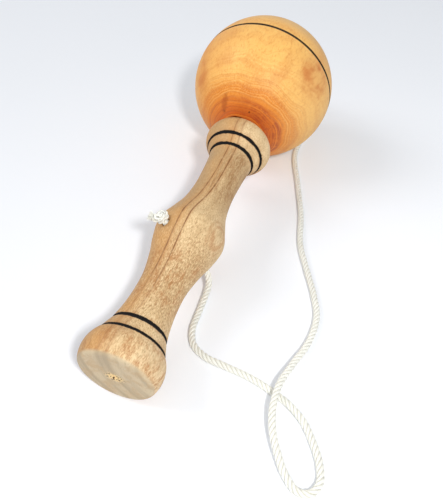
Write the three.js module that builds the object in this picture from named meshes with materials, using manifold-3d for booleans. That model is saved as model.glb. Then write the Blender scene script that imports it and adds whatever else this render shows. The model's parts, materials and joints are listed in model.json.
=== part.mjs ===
// Bilboquet: a turned handle with a peg, a bored wooden ball that sits on the peg, and the cord that
// joins them. It lies at rest on a table, with the ball towards +X and the table at Z = 0.
// Millimetres, +Z up.

import * as THREE from 'three';
import { mergeVertices, toCreasedNormals } from 'three/addons/utils/BufferGeometryUtils.js';
import Module from 'manifold-3d';

const wasm = await Module();
wasm.setup();

// ---- Driving dimensions ---------------------------------------------------------------------------

// Ball.
const BALL_R = 30;
const BORE_R = 6.6;
const BORE_PAST_CENTRE = 14.3; // how far the bore runs beyond the ball's centre
const BALL_LINE_PAST_CENTRE = 1.6; // the burnt line lies this far beyond the centre, towards the far pole
const BALL_LINE_WIDTH = 0.7;

// The ball sits a little crooked on its peg.
const BALL_LEAN_UP = THREE.MathUtils.degToRad(3.4);
const BALL_LEAN_SIDE = THREE.MathUtils.degToRad(2.2);
const PEG_REST_ANGLE = THREE.MathUtils.degToRad(36.8); // where in the bore the peg comes to rest

// Peg, turned in one piece with the handle.
const PEG_R = 2.9;
const PEG_TIP_R = 2.2;
const PEG_PAST_CENTRE = 5; // how far the tip reaches beyond the ball's centre
const PEG_CLEARANCE = 0.25; // between the peg and the wall of the bore where they come nearest

// Handle, from the flat end of its foot to the face that meets the ball.
const HANDLE_L = 119.4;
const SEAT_GAP = 0.6; // between that face and the ball
const FACE_R = 5.2;
const FACE_EDGE = 0.7; // the worn edge round the face

// Collar. Distances run back from the face.
const COLLAR_BACK = 9.2;
const COLLAR_R = 13.4;
const COLLAR_ROUND = 5.4;
const COLLAR_SLOPE = THREE.MathUtils.degToRad(41);
const COLLAR_LINE_BACK = 14;
const COLLAR_LINE_R = 11.25;
const COLLAR_NECK_BACK = 18;
const COLLAR_NECK_R = 8.9;

// Stem and foot. Distances run from the end of the foot.
const UPPER_WAIST_R = 7.7;
const BULGE_AT = 60;
const BULGE_R = 12.65;
const LOWER_WAIST_R = 8;
const FOOT_NECK_AT = 16.5;
const FOOT_NECK_R = 9.6;
const FOOT_LINE_AT = 11.2;
const FOOT_AT = 5;
const FOOT_R = 13.6;
const FOOT_ROUND = 10.5;
const FOOT_EDGE = 1.6; // radius of the worn edge round the end face
const CENTRE_MARK_R = 1.1; // left by the lathe in the end face
const CENTRE_MARK_DEPTH = 1.4;

// Burnt lines on the handle, and how steeply the outline runs through each.
const LINE_WIDTH = 0.8;
const LINE_DEPTH = 0.35;
const FOOT_LINE_SLOPE = -0.5;
const FOOT_NECK_SLOPE = -0.25;
const COLLAR_NECK_SLOPE = 0.4;
const COLLAR_LINE_SLOPE = 0.6;

// The stem's flanks, as [share of the way from the neck to the crest of the bulge, share of the rise
// from the waist to the crest].
const LOWER_FLANK = [[0.27, 0], [0.47, 0.02], [0.68, 0.38], [0.82, 0.75], [0.98, 1]];
const UPPER_FLANK = [[0.37, 0], [0.54, 0.04], [0.71, 0.23], [0.88, 0.67]];
// Between a neck and its waist: the share of that way, and of the fall in radius.
const NECK_EASE = [0.12, 0.4];

// Cord and its two knots.
const CORD_R = 1.25;
const CORD_HOLE_CLEARANCE = 0.4; // all round
const CORD_SIDES = 8;
const CORD_STEPS = 80;
const HANDLE_KNOT_R = 3;
const HANDLE_KNOT_TAIL = 1.5; // the cut end of the cord stands out this far from the knot
const HANDLE_KNOT_TAIL_WAY = new THREE.Vector3(0.1, 0.9, 0.4).normalize();
const BALL_KNOT_R = 3;
const KNOT_GAP = 0.3; // a knot's distance from the wood and from the end of the cord's tube
const CORD_HOLE_AT = 54.5; // the hole through the bulge, from the end of the foot
const CORD_HOLE_RISE = THREE.MathUtils.degToRad(55);
const STRAIGHT_OUT = 1.4; // the cord leaves a hole straight for this far
const HOLE_OVERRUN = 1; // the cut runs on past the wood

// Facets.
const BALL_SIDES = 60;
const HANDLE_SIDES = 44;
const HOLE_SIDES = 20;
const TAIL_SIDES = 12;
const KNOT_SIDES = 20;
const STEM_STEPS = 36;
const ARC_SAG = 0.03; // how far the straight steps of an outline may cut inside its arcs
const SOFT_CREASE = THREE.MathUtils.degToRad(36); // edges flatter than this are shaded smooth

// ---- Where things come to rest --------------------------------------------------------------------

// The peg's axis keeps to one side of the bore's axis. Both lean apart, so the two come nearest at the
// mouth of the bore, where the clearance is met. Vectors here are [sideways, upwards].
function pegOffsetAtCentre() {
  const reach = BORE_R - PEG_R - PEG_CLEARANCE;
  const toRest = new THREE.Vector2(Math.cos(PEG_REST_ANGLE), Math.sin(PEG_REST_ANGLE));
  const atMouth = new THREE.Vector2(Math.tan(BALL_LEAN_SIDE), -Math.tan(BALL_LEAN_UP));
  atMouth.multiplyScalar(BALL_R);
  const along = toRest.dot(atMouth);
  const play = Math.sqrt(along * along - atMouth.lengthSq() + reach * reach) - along;
  return toRest.multiplyScalar(play);
}

const pegOffset = pegOffsetAtCentre();
const ballCentre = new THREE.Vector3(0, 0, BALL_R);
const axisAtBall = new THREE.Vector3(0, -pegOffset.x, BALL_R - pegOffset.y);
const faceFromCentre = BALL_R + SEAT_GAP;

// The handle tips down until its foot touches the table.
function handleTilt() {
  const toFoot = faceFromCentre + HANDLE_L - FOOT_AT;
  const hub = FOOT_R - FOOT_ROUND;
  const height = axisAtBall.z - FOOT_ROUND;
  return Math.asin(height / Math.hypot(toFoot, hub)) - Math.atan2(hub, toFoot);
}

const tilt = handleTilt();
const toBall = new THREE.Vector3(Math.cos(tilt), 0, Math.sin(tilt));
const upFromHandle = new THREE.Vector3(-Math.sin(tilt), 0, Math.cos(tilt));
const footCentre = axisAtBall.clone().addScaledVector(toBall, -(faceFromCentre + HANDLE_L));

const ballRise = tilt + BALL_LEAN_UP;
const toFarPole = new THREE.Vector3(
  Math.cos(ballRise) * Math.cos(BALL_LEAN_SIDE),
  -Math.cos(ballRise) * Math.sin(BALL_LEAN_SIDE),
  Math.sin(ballRise),
);

// The hole through the bulge crosses the handle's axis at a right angle.
const holeR = CORD_R + CORD_HOLE_CLEARANCE;
const holeCentre = footCentre.clone().addScaledVector(toBall, CORD_HOLE_AT);
const toHandleKnot = new THREE.Vector3(0, Math.cos(CORD_HOLE_RISE), 0);
toHandleKnot.addScaledVector(upFromHandle, Math.sin(CORD_HOLE_RISE));

// ---- Helpers --------------------------------------------------------------------------------------

// One closed skin: shared corners, and no triangle that has shrunk to a line.
function closed(geometry) {
  const bare = geometry.clone();
  bare.deleteAttribute('normal');
  bare.deleteAttribute('uv');
  const merged = mergeVertices(bare, 1e-4);
  const corners = merged.index.array;
  const kept = [];
  for (let i = 0; i < corners.length; i += 3) {
    const [a, b, c] = corners.slice(i, i + 3);
    if (a !== b && b !== c && c !== a) {
      kept.push(a, b, c);
    }
  }
  merged.setIndex(kept);
  return merged;
}

function toSolid(geometry) {
  const skin = closed(geometry);
  const mesh = new wasm.Mesh({
    numProp: 3,
    vertProperties: new Float32Array(skin.attributes.position.array),
    triVerts: new Uint32Array(skin.index.array),
  });
  return new wasm.Manifold(mesh);
}

function toGeometry(solid) {
  const mesh = solid.getMesh();
  const geometry = new THREE.BufferGeometry();
  geometry.setAttribute('position', new THREE.BufferAttribute(mesh.vertProperties, mesh.numProp));
  geometry.setIndex(new THREE.BufferAttribute(mesh.triVerts, 1));
  return geometry;
}

// A turned shape. The outline is [distance along the axis, radius], and it starts and ends on the axis.
function turned(outline, sides, start, direction) {
  const geometry = new THREE.LatheGeometry(outline.map(([at, r]) => new THREE.Vector2(r, at)), sides);
  const turn = new THREE.Quaternion().setFromUnitVectors(new THREE.Vector3(0, 1, 0), direction);
  geometry.applyQuaternion(turn);
  geometry.translate(start.x, start.y, start.z);
  return geometry;
}

function rod(radius, from, to, sides) {
  const along = to.clone().sub(from);
  const length = along.length();
  return turned([[0, 0], [0, radius], [length, radius], [length, 0]], sides, from, along.normalize());
}

// Points on an arc, as [distance along the axis, radius], from one angle to another.
function arc(at, r, radius, fromAngle, toAngle) {
  const step = 2 * Math.acos(1 - ARC_SAG / radius);
  const steps = Math.ceil(Math.abs(toAngle - fromAngle) / step);
  const points = [];
  for (let i = 0; i <= steps; i += 1) {
    const angle = fromAngle + ((toAngle - fromAngle) * i) / steps;
    points.push([at + radius * Math.cos(angle), r + radius * Math.sin(angle)]);
  }
  return points;
}

// A burnt line: a narrow V cut into the outline.
function burntLine(at, r, slope) {
  const half = LINE_WIDTH / 2;
  return [[at - half, r - half * slope], [at, r - LINE_DEPTH], [at + half, r + half * slope]];
}

// ---- Handle ---------------------------------------------------------------------------------------

function footOutline() {
  const hub = FOOT_R - FOOT_ROUND;
  // The worn edge touches the end face and the big round of the foot from inside.
  const edgeReach = FOOT_ROUND - FOOT_EDGE;
  const edgeR = hub + Math.sqrt(edgeReach ** 2 - (FOOT_AT - FOOT_EDGE) ** 2);
  const edgeAngle = Math.atan2(edgeR - hub, FOOT_EDGE - FOOT_AT);
  const lineAngle = Math.acos((FOOT_LINE_AT - LINE_WIDTH / 2 - FOOT_AT) / FOOT_ROUND);
  const lineR = hub + Math.sqrt(FOOT_ROUND ** 2 - (FOOT_LINE_AT - FOOT_AT) ** 2);
  return [
    [CENTRE_MARK_DEPTH, 0],
    [0, CENTRE_MARK_R],
    ...arc(FOOT_EDGE, edgeR, FOOT_EDGE, Math.PI, edgeAngle),
    ...arc(FOOT_AT, hub, FOOT_ROUND, edgeAngle, lineAngle).slice(1),
    ...burntLine(FOOT_LINE_AT, lineR, FOOT_LINE_SLOPE).slice(1),
    ...burntLine(FOOT_NECK_AT, FOOT_NECK_R, FOOT_NECK_SLOPE),
  ];
}

// One side of the stem, from a neck to the crest of the bulge.
function flank(neckAt, neckR, waistR, shares) {
  const [easeAlong, easeDown] = NECK_EASE;
  const along = (share) => THREE.MathUtils.lerp(neckAt, BULGE_AT, share);
  const points = [[along(easeAlong), THREE.MathUtils.lerp(waistR, neckR, easeDown)]];
  for (const [share, rise] of shares) {
    points.push([along(share), THREE.MathUtils.lerp(waistR, BULGE_R, rise)]);
  }
  return points;
}

// The slim stem with its bulge, as a smooth curve through its waists, flanks and crest.
function stemOutline() {
  const half = LINE_WIDTH / 2;
  const collarNeckAt = HANDLE_L - COLLAR_NECK_BACK;
  const through = [
    [FOOT_NECK_AT + half, FOOT_NECK_R + half * FOOT_NECK_SLOPE],
    ...flank(FOOT_NECK_AT, FOOT_NECK_R, LOWER_WAIST_R, LOWER_FLANK),
    ...flank(collarNeckAt, COLLAR_NECK_R, UPPER_WAIST_R, UPPER_FLANK).reverse(),
    [collarNeckAt - half, COLLAR_NECK_R - half * COLLAR_NECK_SLOPE],
  ];
  const curve = new THREE.SplineCurve(through.map(([at, r]) => new THREE.Vector2(at, r)));
  return curve.getPoints(STEM_STEPS).slice(1, -1).map((p) => [p.x, p.y]);
}

function collarOutline() {
  const at = HANDLE_L - COLLAR_BACK;
  const coneAngle = Math.PI / 2 - COLLAR_SLOPE;
  const shoulderAngle = Math.PI - coneAngle;
  const round = arc(at, COLLAR_R - COLLAR_ROUND, COLLAR_ROUND, shoulderAngle, coneAngle);
  const [coneAt, coneR] = round[round.length - 1];
  const edgeAt = HANDLE_L - FACE_EDGE;
  const edgeR = Math.max(FACE_R + FACE_EDGE, coneR - (edgeAt - coneAt) / Math.tan(COLLAR_SLOPE));
  return [
    ...burntLine(HANDLE_L - COLLAR_NECK_BACK, COLLAR_NECK_R, COLLAR_NECK_SLOPE),
    ...burntLine(HANDLE_L - COLLAR_LINE_BACK, COLLAR_LINE_R, COLLAR_LINE_SLOPE),
    ...round,
    [edgeAt, edgeR],
    [HANDLE_L, edgeR - FACE_EDGE],
  ];
}

function pegOutline() {
  const tipAt = HANDLE_L + faceFromCentre + PEG_PAST_CENTRE;
  return [
    [HANDLE_L, PEG_R],
    ...arc(tipAt - PEG_TIP_R, 0, PEG_TIP_R, Math.PI / 2, 0),
  ];
}

const handleOutline = [...footOutline(), ...stemOutline(), ...collarOutline(), ...pegOutline()];

// The handle's radius where the cord's hole comes out.
function radiusAtHole() {
  const next = handleOutline.findIndex(([at]) => at > CORD_HOLE_AT);
  const [fromAt, fromR] = handleOutline[next - 1];
  const [toAt, toR] = handleOutline[next];
  return THREE.MathUtils.mapLinear(CORD_HOLE_AT, fromAt, toAt, fromR, toR);
}

const holeMouth = radiusAtHole();

function handleGeometry() {
  const body = toSolid(turned(handleOutline, HANDLE_SIDES, footCentre, toBall));
  const past = BULGE_R + HOLE_OVERRUN;
  const holeStart = holeCentre.clone().addScaledVector(toHandleKnot, -past);
  const holeEnd = holeCentre.clone().addScaledVector(toHandleKnot, past);
  const hole = toSolid(rod(holeR, holeStart, holeEnd, HOLE_SIDES));
  return toGeometry(body.subtract(hole));
}

// ---- Ball -----------------------------------------------------------------------------------------

function alongBall(distance) {
  return ballCentre.clone().addScaledVector(toFarPole, distance);
}

function ballGeometry() {
  const half = BALL_LINE_WIDTH / 2;
  const angleAt = (distance) => Math.acos(distance / BALL_R);
  const mouthAngle = Math.PI - Math.asin(BORE_R / BALL_R);
  const outline = [
    [BORE_PAST_CENTRE, 0],
    [BORE_PAST_CENTRE, BORE_R],
    ...arc(0, 0, BALL_R, mouthAngle, angleAt(BALL_LINE_PAST_CENTRE - half)),
    [BALL_LINE_PAST_CENTRE, BALL_R - LINE_DEPTH],
    ...arc(0, 0, BALL_R, angleAt(BALL_LINE_PAST_CENTRE + half), 0),
  ];
  const body = toSolid(turned(outline, BALL_SIDES, ballCentre, toFarPole));
  const holeStart = alongBall(BORE_PAST_CENTRE - HOLE_OVERRUN);
  const holeEnd = alongBall(BALL_R + HOLE_OVERRUN);
  const hole = toSolid(rod(holeR, holeStart, holeEnd, HOLE_SIDES));
  return toGeometry(body.subtract(hole));
}

// ---- Cord -----------------------------------------------------------------------------------------

// Where the slack cord lies, from the ball's far pole to the bulge. X is measured from the ball's centre.
const CORD_LIES = [
  [35.6, -1.6, 34.9],
  [38.6, -2.4, 31.6],
  [39.9, -3.6, 26],
  [40.4, -5.6, 18],
  [39.6, -8.8, 9.5],
  [36.6, -12.6, 3.8],
  [30.5, -16, 1.7],
  [18, -18.5, 1.3],
  [-3, -19.2, 1.3],
  [-24.4, -26.3, 1.3],
  [-43.3, -32.7, 1.3],
  [-60.9, -37.2, 1.3],
  [-72, -42.3, 1.3],
  [-84.9, -48.6, 1.3],
  [-95, -52.1, 1.3],
  [-106.7, -52, 1.5],
  [-117.6, -49.5, 2.5],
  [-126.8, -47.8, 3.9],
  [-132.6, -47.8, 4.4],
  [-138.6, -48.7, 4.2],
  [-144.4, -50.8, 3.4],
  [-149.5, -53.9, 2.5],
  [-154, -57.3, 1.8],
  [-157.3, -61.6, 1.4],
  [-156.6, -65.4, 1.3],
  [-152.8, -67.2, 1.3],
  [-147, -65.7, 1.3],
  [-141.4, -62.4, 1.3],
  [-136, -58.2, 1.3],
  [-131.9, -52.7, 1.3],
  [-129.2, -46.2, 1.3],
  [-127, -38.8, 1.3],
  [-125.6, -28.9, 1.3],
  [-124.6, -21.8, 1.3],
  [-121.7, -16.6, 1.3],
  [-116, -13.6, 1.3],
  [-108, -12.8, 1.5],
  [-100.8, -12.4, 2.2],
  [-96.6, -12, 3.3],
  [-94.8, -11.3, 5.2],
];

// The tube starts and ends in the holes, where each knot stops it.
function cordPath() {
  const alongHole = (distance) => holeCentre.clone().addScaledVector(toHandleKnot, distance);
  const points = [
    alongBall(BORE_PAST_CENTRE),
    alongBall((BORE_PAST_CENTRE + BALL_R) / 2),
    alongBall(BALL_R + STRAIGHT_OUT),
    ...CORD_LIES.map(([x, y, z]) => new THREE.Vector3(x, y, z)),
    alongHole(-holeMouth - STRAIGHT_OUT),
    alongHole(0),
    alongHole(holeMouth),
  ];
  return new THREE.CatmullRomCurve3(points, false, 'centripetal');
}

function cordGeometry() {
  const outline = [];
  for (let i = 0; i < CORD_SIDES; i += 1) {
    const angle = (2 * Math.PI * i) / CORD_SIDES;
    outline.push(new THREE.Vector2(CORD_R * Math.cos(angle), CORD_R * Math.sin(angle)));
  }
  return new THREE.ExtrudeGeometry(new THREE.Shape(outline), {
    extrudePath: cordPath(),
    steps: CORD_STEPS,
    bevelEnabled: false,
  });
}

// A stopper knot, drawn up tight into a small ball.
function knot(radius, centre) {
  const geometry = new THREE.SphereGeometry(radius, KNOT_SIDES, KNOT_SIDES / 2);
  geometry.translate(centre.x, centre.y, centre.z);
  return geometry;
}

function handleKnotGeometry() {
  const fromAxis = holeMouth + KNOT_GAP + HANDLE_KNOT_R;
  const centre = holeCentre.clone().addScaledVector(toHandleKnot, fromAxis);
  const tailEnd = centre.clone().addScaledVector(HANDLE_KNOT_TAIL_WAY, HANDLE_KNOT_R + HANDLE_KNOT_TAIL);
  const tail = toSolid(rod(CORD_R, centre, tailEnd, TAIL_SIDES));
  return toGeometry(toSolid(knot(HANDLE_KNOT_R, centre)).add(tail));
}

function ballKnotGeometry() {
  return closed(knot(BALL_KNOT_R, alongBall(BORE_PAST_CENTRE - KNOT_GAP - BALL_KNOT_R)));
}

// ---- Scene ----------------------------------------------------------------------------------------

const handleWood = new THREE.MeshStandardMaterial({ color: 0xcfa873, roughness: 0.62, metalness: 0 });
const ballWood = new THREE.MeshStandardMaterial({ color: 0xe39a4a, roughness: 0.45, metalness: 0 });
const cotton = new THREE.MeshStandardMaterial({ color: 0xf1eee2, roughness: 0.9, metalness: 0 });

const parts = [
  ['handle', handleGeometry(), handleWood],
  ['ball', ballGeometry(), ballWood],
  ['cord', closed(cordGeometry()), cotton],
  ['handle_knot', handleKnotGeometry(), cotton],
  ['ball_knot', ballKnotGeometry(), cotton],
];

// The origin is on the table, half way along the handle and ball.
const firm = new THREE.Box3();
for (const [name, geometry] of parts) {
  if (name === 'handle' || name === 'ball') {
    geometry.computeBoundingBox();
    firm.union(geometry.boundingBox);
  }
}
const middleX = (firm.min.x + firm.max.x) / 2;

const bilboquet = new THREE.Group();
bilboquet.name = 'bilboquet';
for (const [name, geometry, material] of parts) {
  geometry.translate(-middleX, 0, 0);
  const mesh = new THREE.Mesh(toCreasedNormals(geometry, SOFT_CREASE), material);
  mesh.name = name;
  bilboquet.add(mesh);
}

export default bilboquet;
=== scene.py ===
"""Looks of a bilboquet: a turned handle, a bored wooden ball on its peg, and a slack cotton cord.

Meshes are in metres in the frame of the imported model. Sizes held in the classes are millimetres.
"""

import json
import logging
import math
from dataclasses import dataclass, field
from enum import Enum
from functools import reduce
from typing import Any

import bpy
import numpy as np
from mathutils import Matrix, Vector


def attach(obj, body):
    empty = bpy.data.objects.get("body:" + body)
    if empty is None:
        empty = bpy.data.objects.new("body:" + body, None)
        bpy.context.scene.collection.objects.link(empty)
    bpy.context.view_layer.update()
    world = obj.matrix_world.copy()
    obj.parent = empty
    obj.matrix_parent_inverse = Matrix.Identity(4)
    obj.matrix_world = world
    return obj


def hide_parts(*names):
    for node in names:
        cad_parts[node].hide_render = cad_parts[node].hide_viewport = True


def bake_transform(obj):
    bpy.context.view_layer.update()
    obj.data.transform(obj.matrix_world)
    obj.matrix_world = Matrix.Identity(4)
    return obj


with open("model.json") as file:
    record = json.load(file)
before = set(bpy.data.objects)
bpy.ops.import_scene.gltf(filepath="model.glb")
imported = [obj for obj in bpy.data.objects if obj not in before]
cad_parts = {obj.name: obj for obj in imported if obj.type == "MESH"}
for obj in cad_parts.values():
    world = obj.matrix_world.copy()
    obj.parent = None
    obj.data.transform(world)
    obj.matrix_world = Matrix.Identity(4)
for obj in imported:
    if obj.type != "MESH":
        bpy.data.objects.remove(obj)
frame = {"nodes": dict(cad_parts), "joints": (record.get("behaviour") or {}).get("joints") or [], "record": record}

MM = 0.001
SHARP_EDGE = math.radians(50)
RING_GRID = 1e5  # Steps a metre to which the corners of a ring agree.
LIP_STEP = 0.1  # Spacing, in millimetres, of the points on the eased edge of a hole.
log = logging.getLogger("bilboquet")

Piece = bpy.types.Object
Node = bpy.types.Node
Tree = bpy.types.NodeTree
Inputs = dict[str | int, Any]
Colour = tuple[float, float, float, float]
Point = tuple[float, float, float]
Outline = list[tuple[float, float]]


def tint(*chip: int) -> Colour:
    """A colour chip, given as 0 to 255 display values, as the linear colour that a shader takes.

    Args:
        *chip: Its red, green and blue.

    Returns:
        The linear colour with full opacity.
    """
    shares = np.array(chip) / 255
    linear = np.where(shares <= 0.04045, shares / 12.92, ((shares + 0.055) / 1.055) ** 2.4)
    return (*linear.tolist(), 1.0)


def dimmed(colour: Colour, share: float) -> Colour:
    """A colour at a share of its brightness."""
    return (*(value * share for value in colour[:3]), 1.0)


def unit(way: np.ndarray) -> np.ndarray:
    """A direction at length 1."""
    return way / np.linalg.norm(way)


def new_object(name: str, data: bpy.types.ID) -> Piece:
    """A new object at the origin, linked into the scene.

    Args:
        name: Its name.
        data: Its mesh, curve, light or camera.

    Returns:
        The object.
    """
    piece = bpy.data.objects.new(name, data)
    bpy.context.scene.collection.objects.link(piece)
    return piece


# ---- Turning ----


@dataclass(frozen=True)
class TurningAxis:
    """The line that a piece was turned about: where it starts and which way it runs."""

    origin: Vector
    along: Vector

    @property
    def left(self) -> Vector:
        """The level direction square to the axis, to the left of someone looking along it."""
        return Vector((0, 0, 1)).cross(self.along).normalized()

    @property
    def up(self) -> Vector:
        """The direction square to the axis and to its left, on the upper side."""
        return self.along.cross(self.left).normalized()

    @property
    def frame(self) -> Matrix:
        """The turn from (along, left, up) to the model's axes."""
        return Matrix((self.along, self.left, self.up)).transposed()

    def place(self, along: float, left: float = 0.0, up: float = 0.0) -> Vector:
        """The point, in metres, that is so many millimetres along the axis, left of it and above it."""
        return self.origin + self.frame @ Vector((along, left, up)) * MM


def smooth_through(points: np.ndarray, step: float) -> np.ndarray:
    """A centripetal Catmull-Rom curve through points.

    Args:
        points: The points, one a row, in any number of dimensions.
        step: Longest spacing of the samples.

    Returns:
        Samples along the curve, with every given point among them.
    """
    padded = np.vstack([2 * points[0] - points[1], points, 2 * points[-1] - points[-2]])
    samples = [points[0]]
    for i in range(len(points) - 1):
        p0, p1, p2, p3 = padded[i:i + 4]
        d0, d1, d2 = (math.sqrt(max(float(np.linalg.norm(q)), 1e-9)) for q in (p1 - p0, p2 - p1, p3 - p2))
        leave = ((p1 - p0) / d0 - (p2 - p0) / (d0 + d1) + (p2 - p1) / d1) * d1
        reach = ((p2 - p1) / d1 - (p3 - p1) / (d1 + d2) + (p3 - p2) / d2) * d1
        count = max(1, math.ceil(float(np.linalg.norm(p2 - p1)) / step))
        for t in np.arange(1, count + 1) / count:
            cube, square = t ** 3, t ** 2
            samples.append(
                (2 * cube - 3 * square + 1) * p1 + (cube - 2 * square + t) * leave
                + (3 * square - 2 * cube) * p2 + (cube - square) * reach
            )
    return np.array(samples)


@dataclass(frozen=True)
class OutlineSmoother:
    """Turns the stepped outline of a CAD piece into a fine one, with its sharp corners eased."""

    step: float = 0.6
    corner_angle: float = math.radians(28)
    corner_ease: float = 0.14
    longest_share: float = 0.35
    ease_steps: int = 4

    def _is_corner(self, before: np.ndarray, here: np.ndarray, after: np.ndarray) -> bool:
        """Whether the outline turns sharply at a point, given with its neighbours."""
        turn = float(np.clip(unit(here - before) @ unit(after - here), -1, 1))
        return math.acos(turn) > self.corner_angle

    def _cut(self, here: np.ndarray, towards: np.ndarray) -> np.ndarray:
        """The point where the easing of a corner starts, on the way to a neighbour."""
        far = float(np.linalg.norm(towards - here))
        return here + unit(towards - here) * min(self.corner_ease, self.longest_share * far)

    def _eased(self, before: np.ndarray, here: np.ndarray, after: np.ndarray) -> list[np.ndarray]:
        """The short curve that takes the place of a sharp corner.

        Args:
            before: A point on the outline before the corner.
            here: The corner.
            after: A point on the outline after the corner.

        Returns:
            Points across the corner.
        """
        start, end = self._cut(here, before), self._cut(here, after)
        shares = np.linspace(0, 1, self.ease_steps)
        return [(1 - t) ** 2 * start + 2 * t * (1 - t) * here + t ** 2 * end for t in shares]

    def smooth(self, stepped: Outline) -> Outline:
        """The fine outline.

        Args:
            stepped: Points of (along, radius) that start and end on the axis.

        Returns:
            The fine outline, in the same order.
        """
        points = [np.array(p, float) for p in stepped]
        last = len(points) - 1
        corners = [0, *(i for i in range(1, last) if self._is_corner(*points[i - 1:i + 2])), last]
        runs = [smooth_through(np.array(points[a:b + 1]), self.step) for a, b in zip(corners, corners[1:])]
        fine = [runs[0][0]]
        for run, following in zip(runs, runs[1:]):
            fine += [*run[1:-1], *self._eased(run[-2], run[-1], following[1])]
        return [(float(s), max(0.0, float(r))) for s, r in [*fine, *runs[-1][1:]]]


def rings_of(node: Piece, axis: TurningAxis, fewest: int = 30) -> Outline:
    """The outline that a turned CAD node was made with.

    Args:
        node: The CAD node.
        axis: The axis that it was turned about.
        fewest: A ring has at least this many corners, so the edges of holes aren't taken for rings.

    Returns:
        Its rings as (along, radius), in order from the end at the axis's origin.
    """
    corners = np.array([v.co for v in node.data.vertices]) - np.array(axis.origin)
    along = corners @ np.array(axis.along)
    radius = np.linalg.norm(corners - np.outer(along, np.array(axis.along)), axis=1)
    places: dict[tuple[int, int], set[tuple[float, ...]]] = {}
    for corner, s, r in zip(corners, along, radius):
        key = (round(float(s) * RING_GRID), round(float(r) * RING_GRID))
        near = [(key[0] + i, key[1] + j) for i in (0, -1, 1) for j in (0, -1, 1)]
        kept = next((k for k in near if k in places), key)
        places.setdefault(kept, set()).add(tuple(np.round(corner, 6)))
    to_mm = RING_GRID * MM
    rings = [(s / to_mm, r / to_mm) for (s, r), found in places.items() if len(found) >= fewest or r == 0]
    outline = [min(ring for ring in rings if ring[1] == 0)]
    rings.remove(outline[0])
    while rings and (len(outline) == 1 or outline[-1][1] > 0):
        outline.append(min(rings, key=lambda ring: math.dist(ring, outline[-1])))
        rings.remove(outline[-1])
    return outline


def build_mesh(name: str, corners: np.ndarray, faces: list[tuple[int, ...]]) -> Piece:
    """A smooth-shaded mesh object at the origin, with its faces outwards.

    Args:
        name: Name of the piece.
        corners: Its corners, in metres.
        faces: Its faces, all wound the same way.

    Returns:
        The new object.
    """
    fans = np.array([(face[0], *face[i:i + 2]) for face in faces for i in range(1, len(face) - 1)])
    a, b, c = (corners[fans[:, i]] for i in range(3))
    if float((a * np.cross(b, c)).sum()) < 0:
        faces = [face[::-1] for face in faces]
    mesh = bpy.data.meshes.new(name)
    mesh.from_pydata(corners.tolist(), [], faces)
    mesh.polygons.foreach_set("use_smooth", [True] * len(faces))
    mesh.update()
    return new_object(name, mesh)


def turn_on_lathe(
    name: str, outline: Outline, axis: TurningAxis, sides: int, ring_shaped: bool = False
) -> Piece:
    """A turned piece.

    Args:
        name: Name of the piece.
        outline: Its (along, radius) points in millimetres. They start and end on the axis, or run round
            a closed section that keeps off it.
        axis: The axis that it is turned about.
        sides: Facets round it.
        ring_shaped: Whether the outline is a closed section.

    Returns:
        The new object.
    """
    angles = 2 * math.pi * np.arange(sides) / sides
    across = np.outer(np.cos(angles), np.array(axis.left)) + np.outer(np.sin(angles), np.array(axis.up))
    corners: list[np.ndarray] = []
    rings: list[tuple[int, int]] = []
    for s, r in outline:
        middle = np.array(axis.origin) + np.array(axis.along) * s * MM
        ring = [middle] if r < 1e-6 else [*(middle + across * r * MM)]
        rings.append((len(corners), len(ring)))
        corners += ring
    pairs = list(zip(rings, rings[1:])) + ([(rings[-1], rings[0])] if ring_shaped else [])
    faces = []
    for (a, a_size), (b, b_size) in pairs:
        for i in range(sides):
            loop = (a + i % a_size, a + (i + 1) % a_size, b + (i + 1) % b_size, b + i % b_size)
            faces.append(tuple(dict.fromkeys(loop)))
    return build_mesh(name, np.array(corners), faces)


def arc(at: float, r: float, radius: float, first: float, last: float, step: float) -> Outline:
    """Points on an arc of an outline.

    Args:
        at: Its centre, along the axis.
        r: Its centre, out from the axis.
        radius: Its radius.
        first: The angle that it starts at, from the direction of the axis.
        last: The angle that it ends at.
        step: Spacing of the points.

    Returns:
        The points as (along, radius).
    """
    count = max(2, math.ceil(abs(last - first) * radius / step))
    angles = np.linspace(first, last, count + 1)
    return [(at + radius * math.cos(t), r + radius * math.sin(t)) for t in angles]


# ---- Node benches ----

FLOAT, VECTOR, WHOLE = "NodeSocketFloat", "NodeSocketVector", "NodeSocketInt"
GEOMETRY, MATERIAL = "NodeSocketGeometry", "NodeSocketMaterial"


@dataclass(frozen=True, eq=False)
class Signal:
    """What a node puts out. Arithmetic on it lays further nodes on its bench."""

    bench: "Bench"
    socket: bpy.types.NodeSocket

    def __add__(self, other: Any) -> "Signal":
        """The sum."""
        return self.bench.maths("ADD", self, other)

    def __sub__(self, other: Any) -> "Signal":
        """The difference."""
        return self.bench.maths("SUBTRACT", self, other)

    def __mul__(self, other: Any) -> "Signal":
        """The product."""
        return self.bench.maths("MULTIPLY", self, other)

    def most(self, other: "Signal") -> "Signal":
        """The greater of the two."""
        return self.bench.maths("MAXIMUM", self, other)

    def times(self, *sizes: float) -> "Signal":
        """A vector with each of its values multiplied by its own number."""
        return self.bench.vector("MULTIPLY", self, sizes)

    def spread(self, low: Any, high: Any, at_low: Any, at_high: Any, how: str = "SMOOTHSTEP") -> "Signal":
        """The signal mapped so that it gives at_low at low and at_high at high."""
        values = {"Value": self, "From Min": low, "From Max": high, "To Min": at_low, "To Max": at_high}
        return self.bench.take("ShaderNodeMapRange", values, "Result", interpolation_type=how)

    def rise(self, low: Any, high: Any, most: Any = 1.0) -> "Signal":
        """0 at low, easing to the most at high."""
        return self.spread(low, high, 0.0, most)

    def fall(self, low: Any, high: Any, least: Any = 0.0, most: Any = 1.0) -> "Signal":
        """The most at low, easing to the least at high."""
        return self.spread(low, high, most, least)


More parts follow.
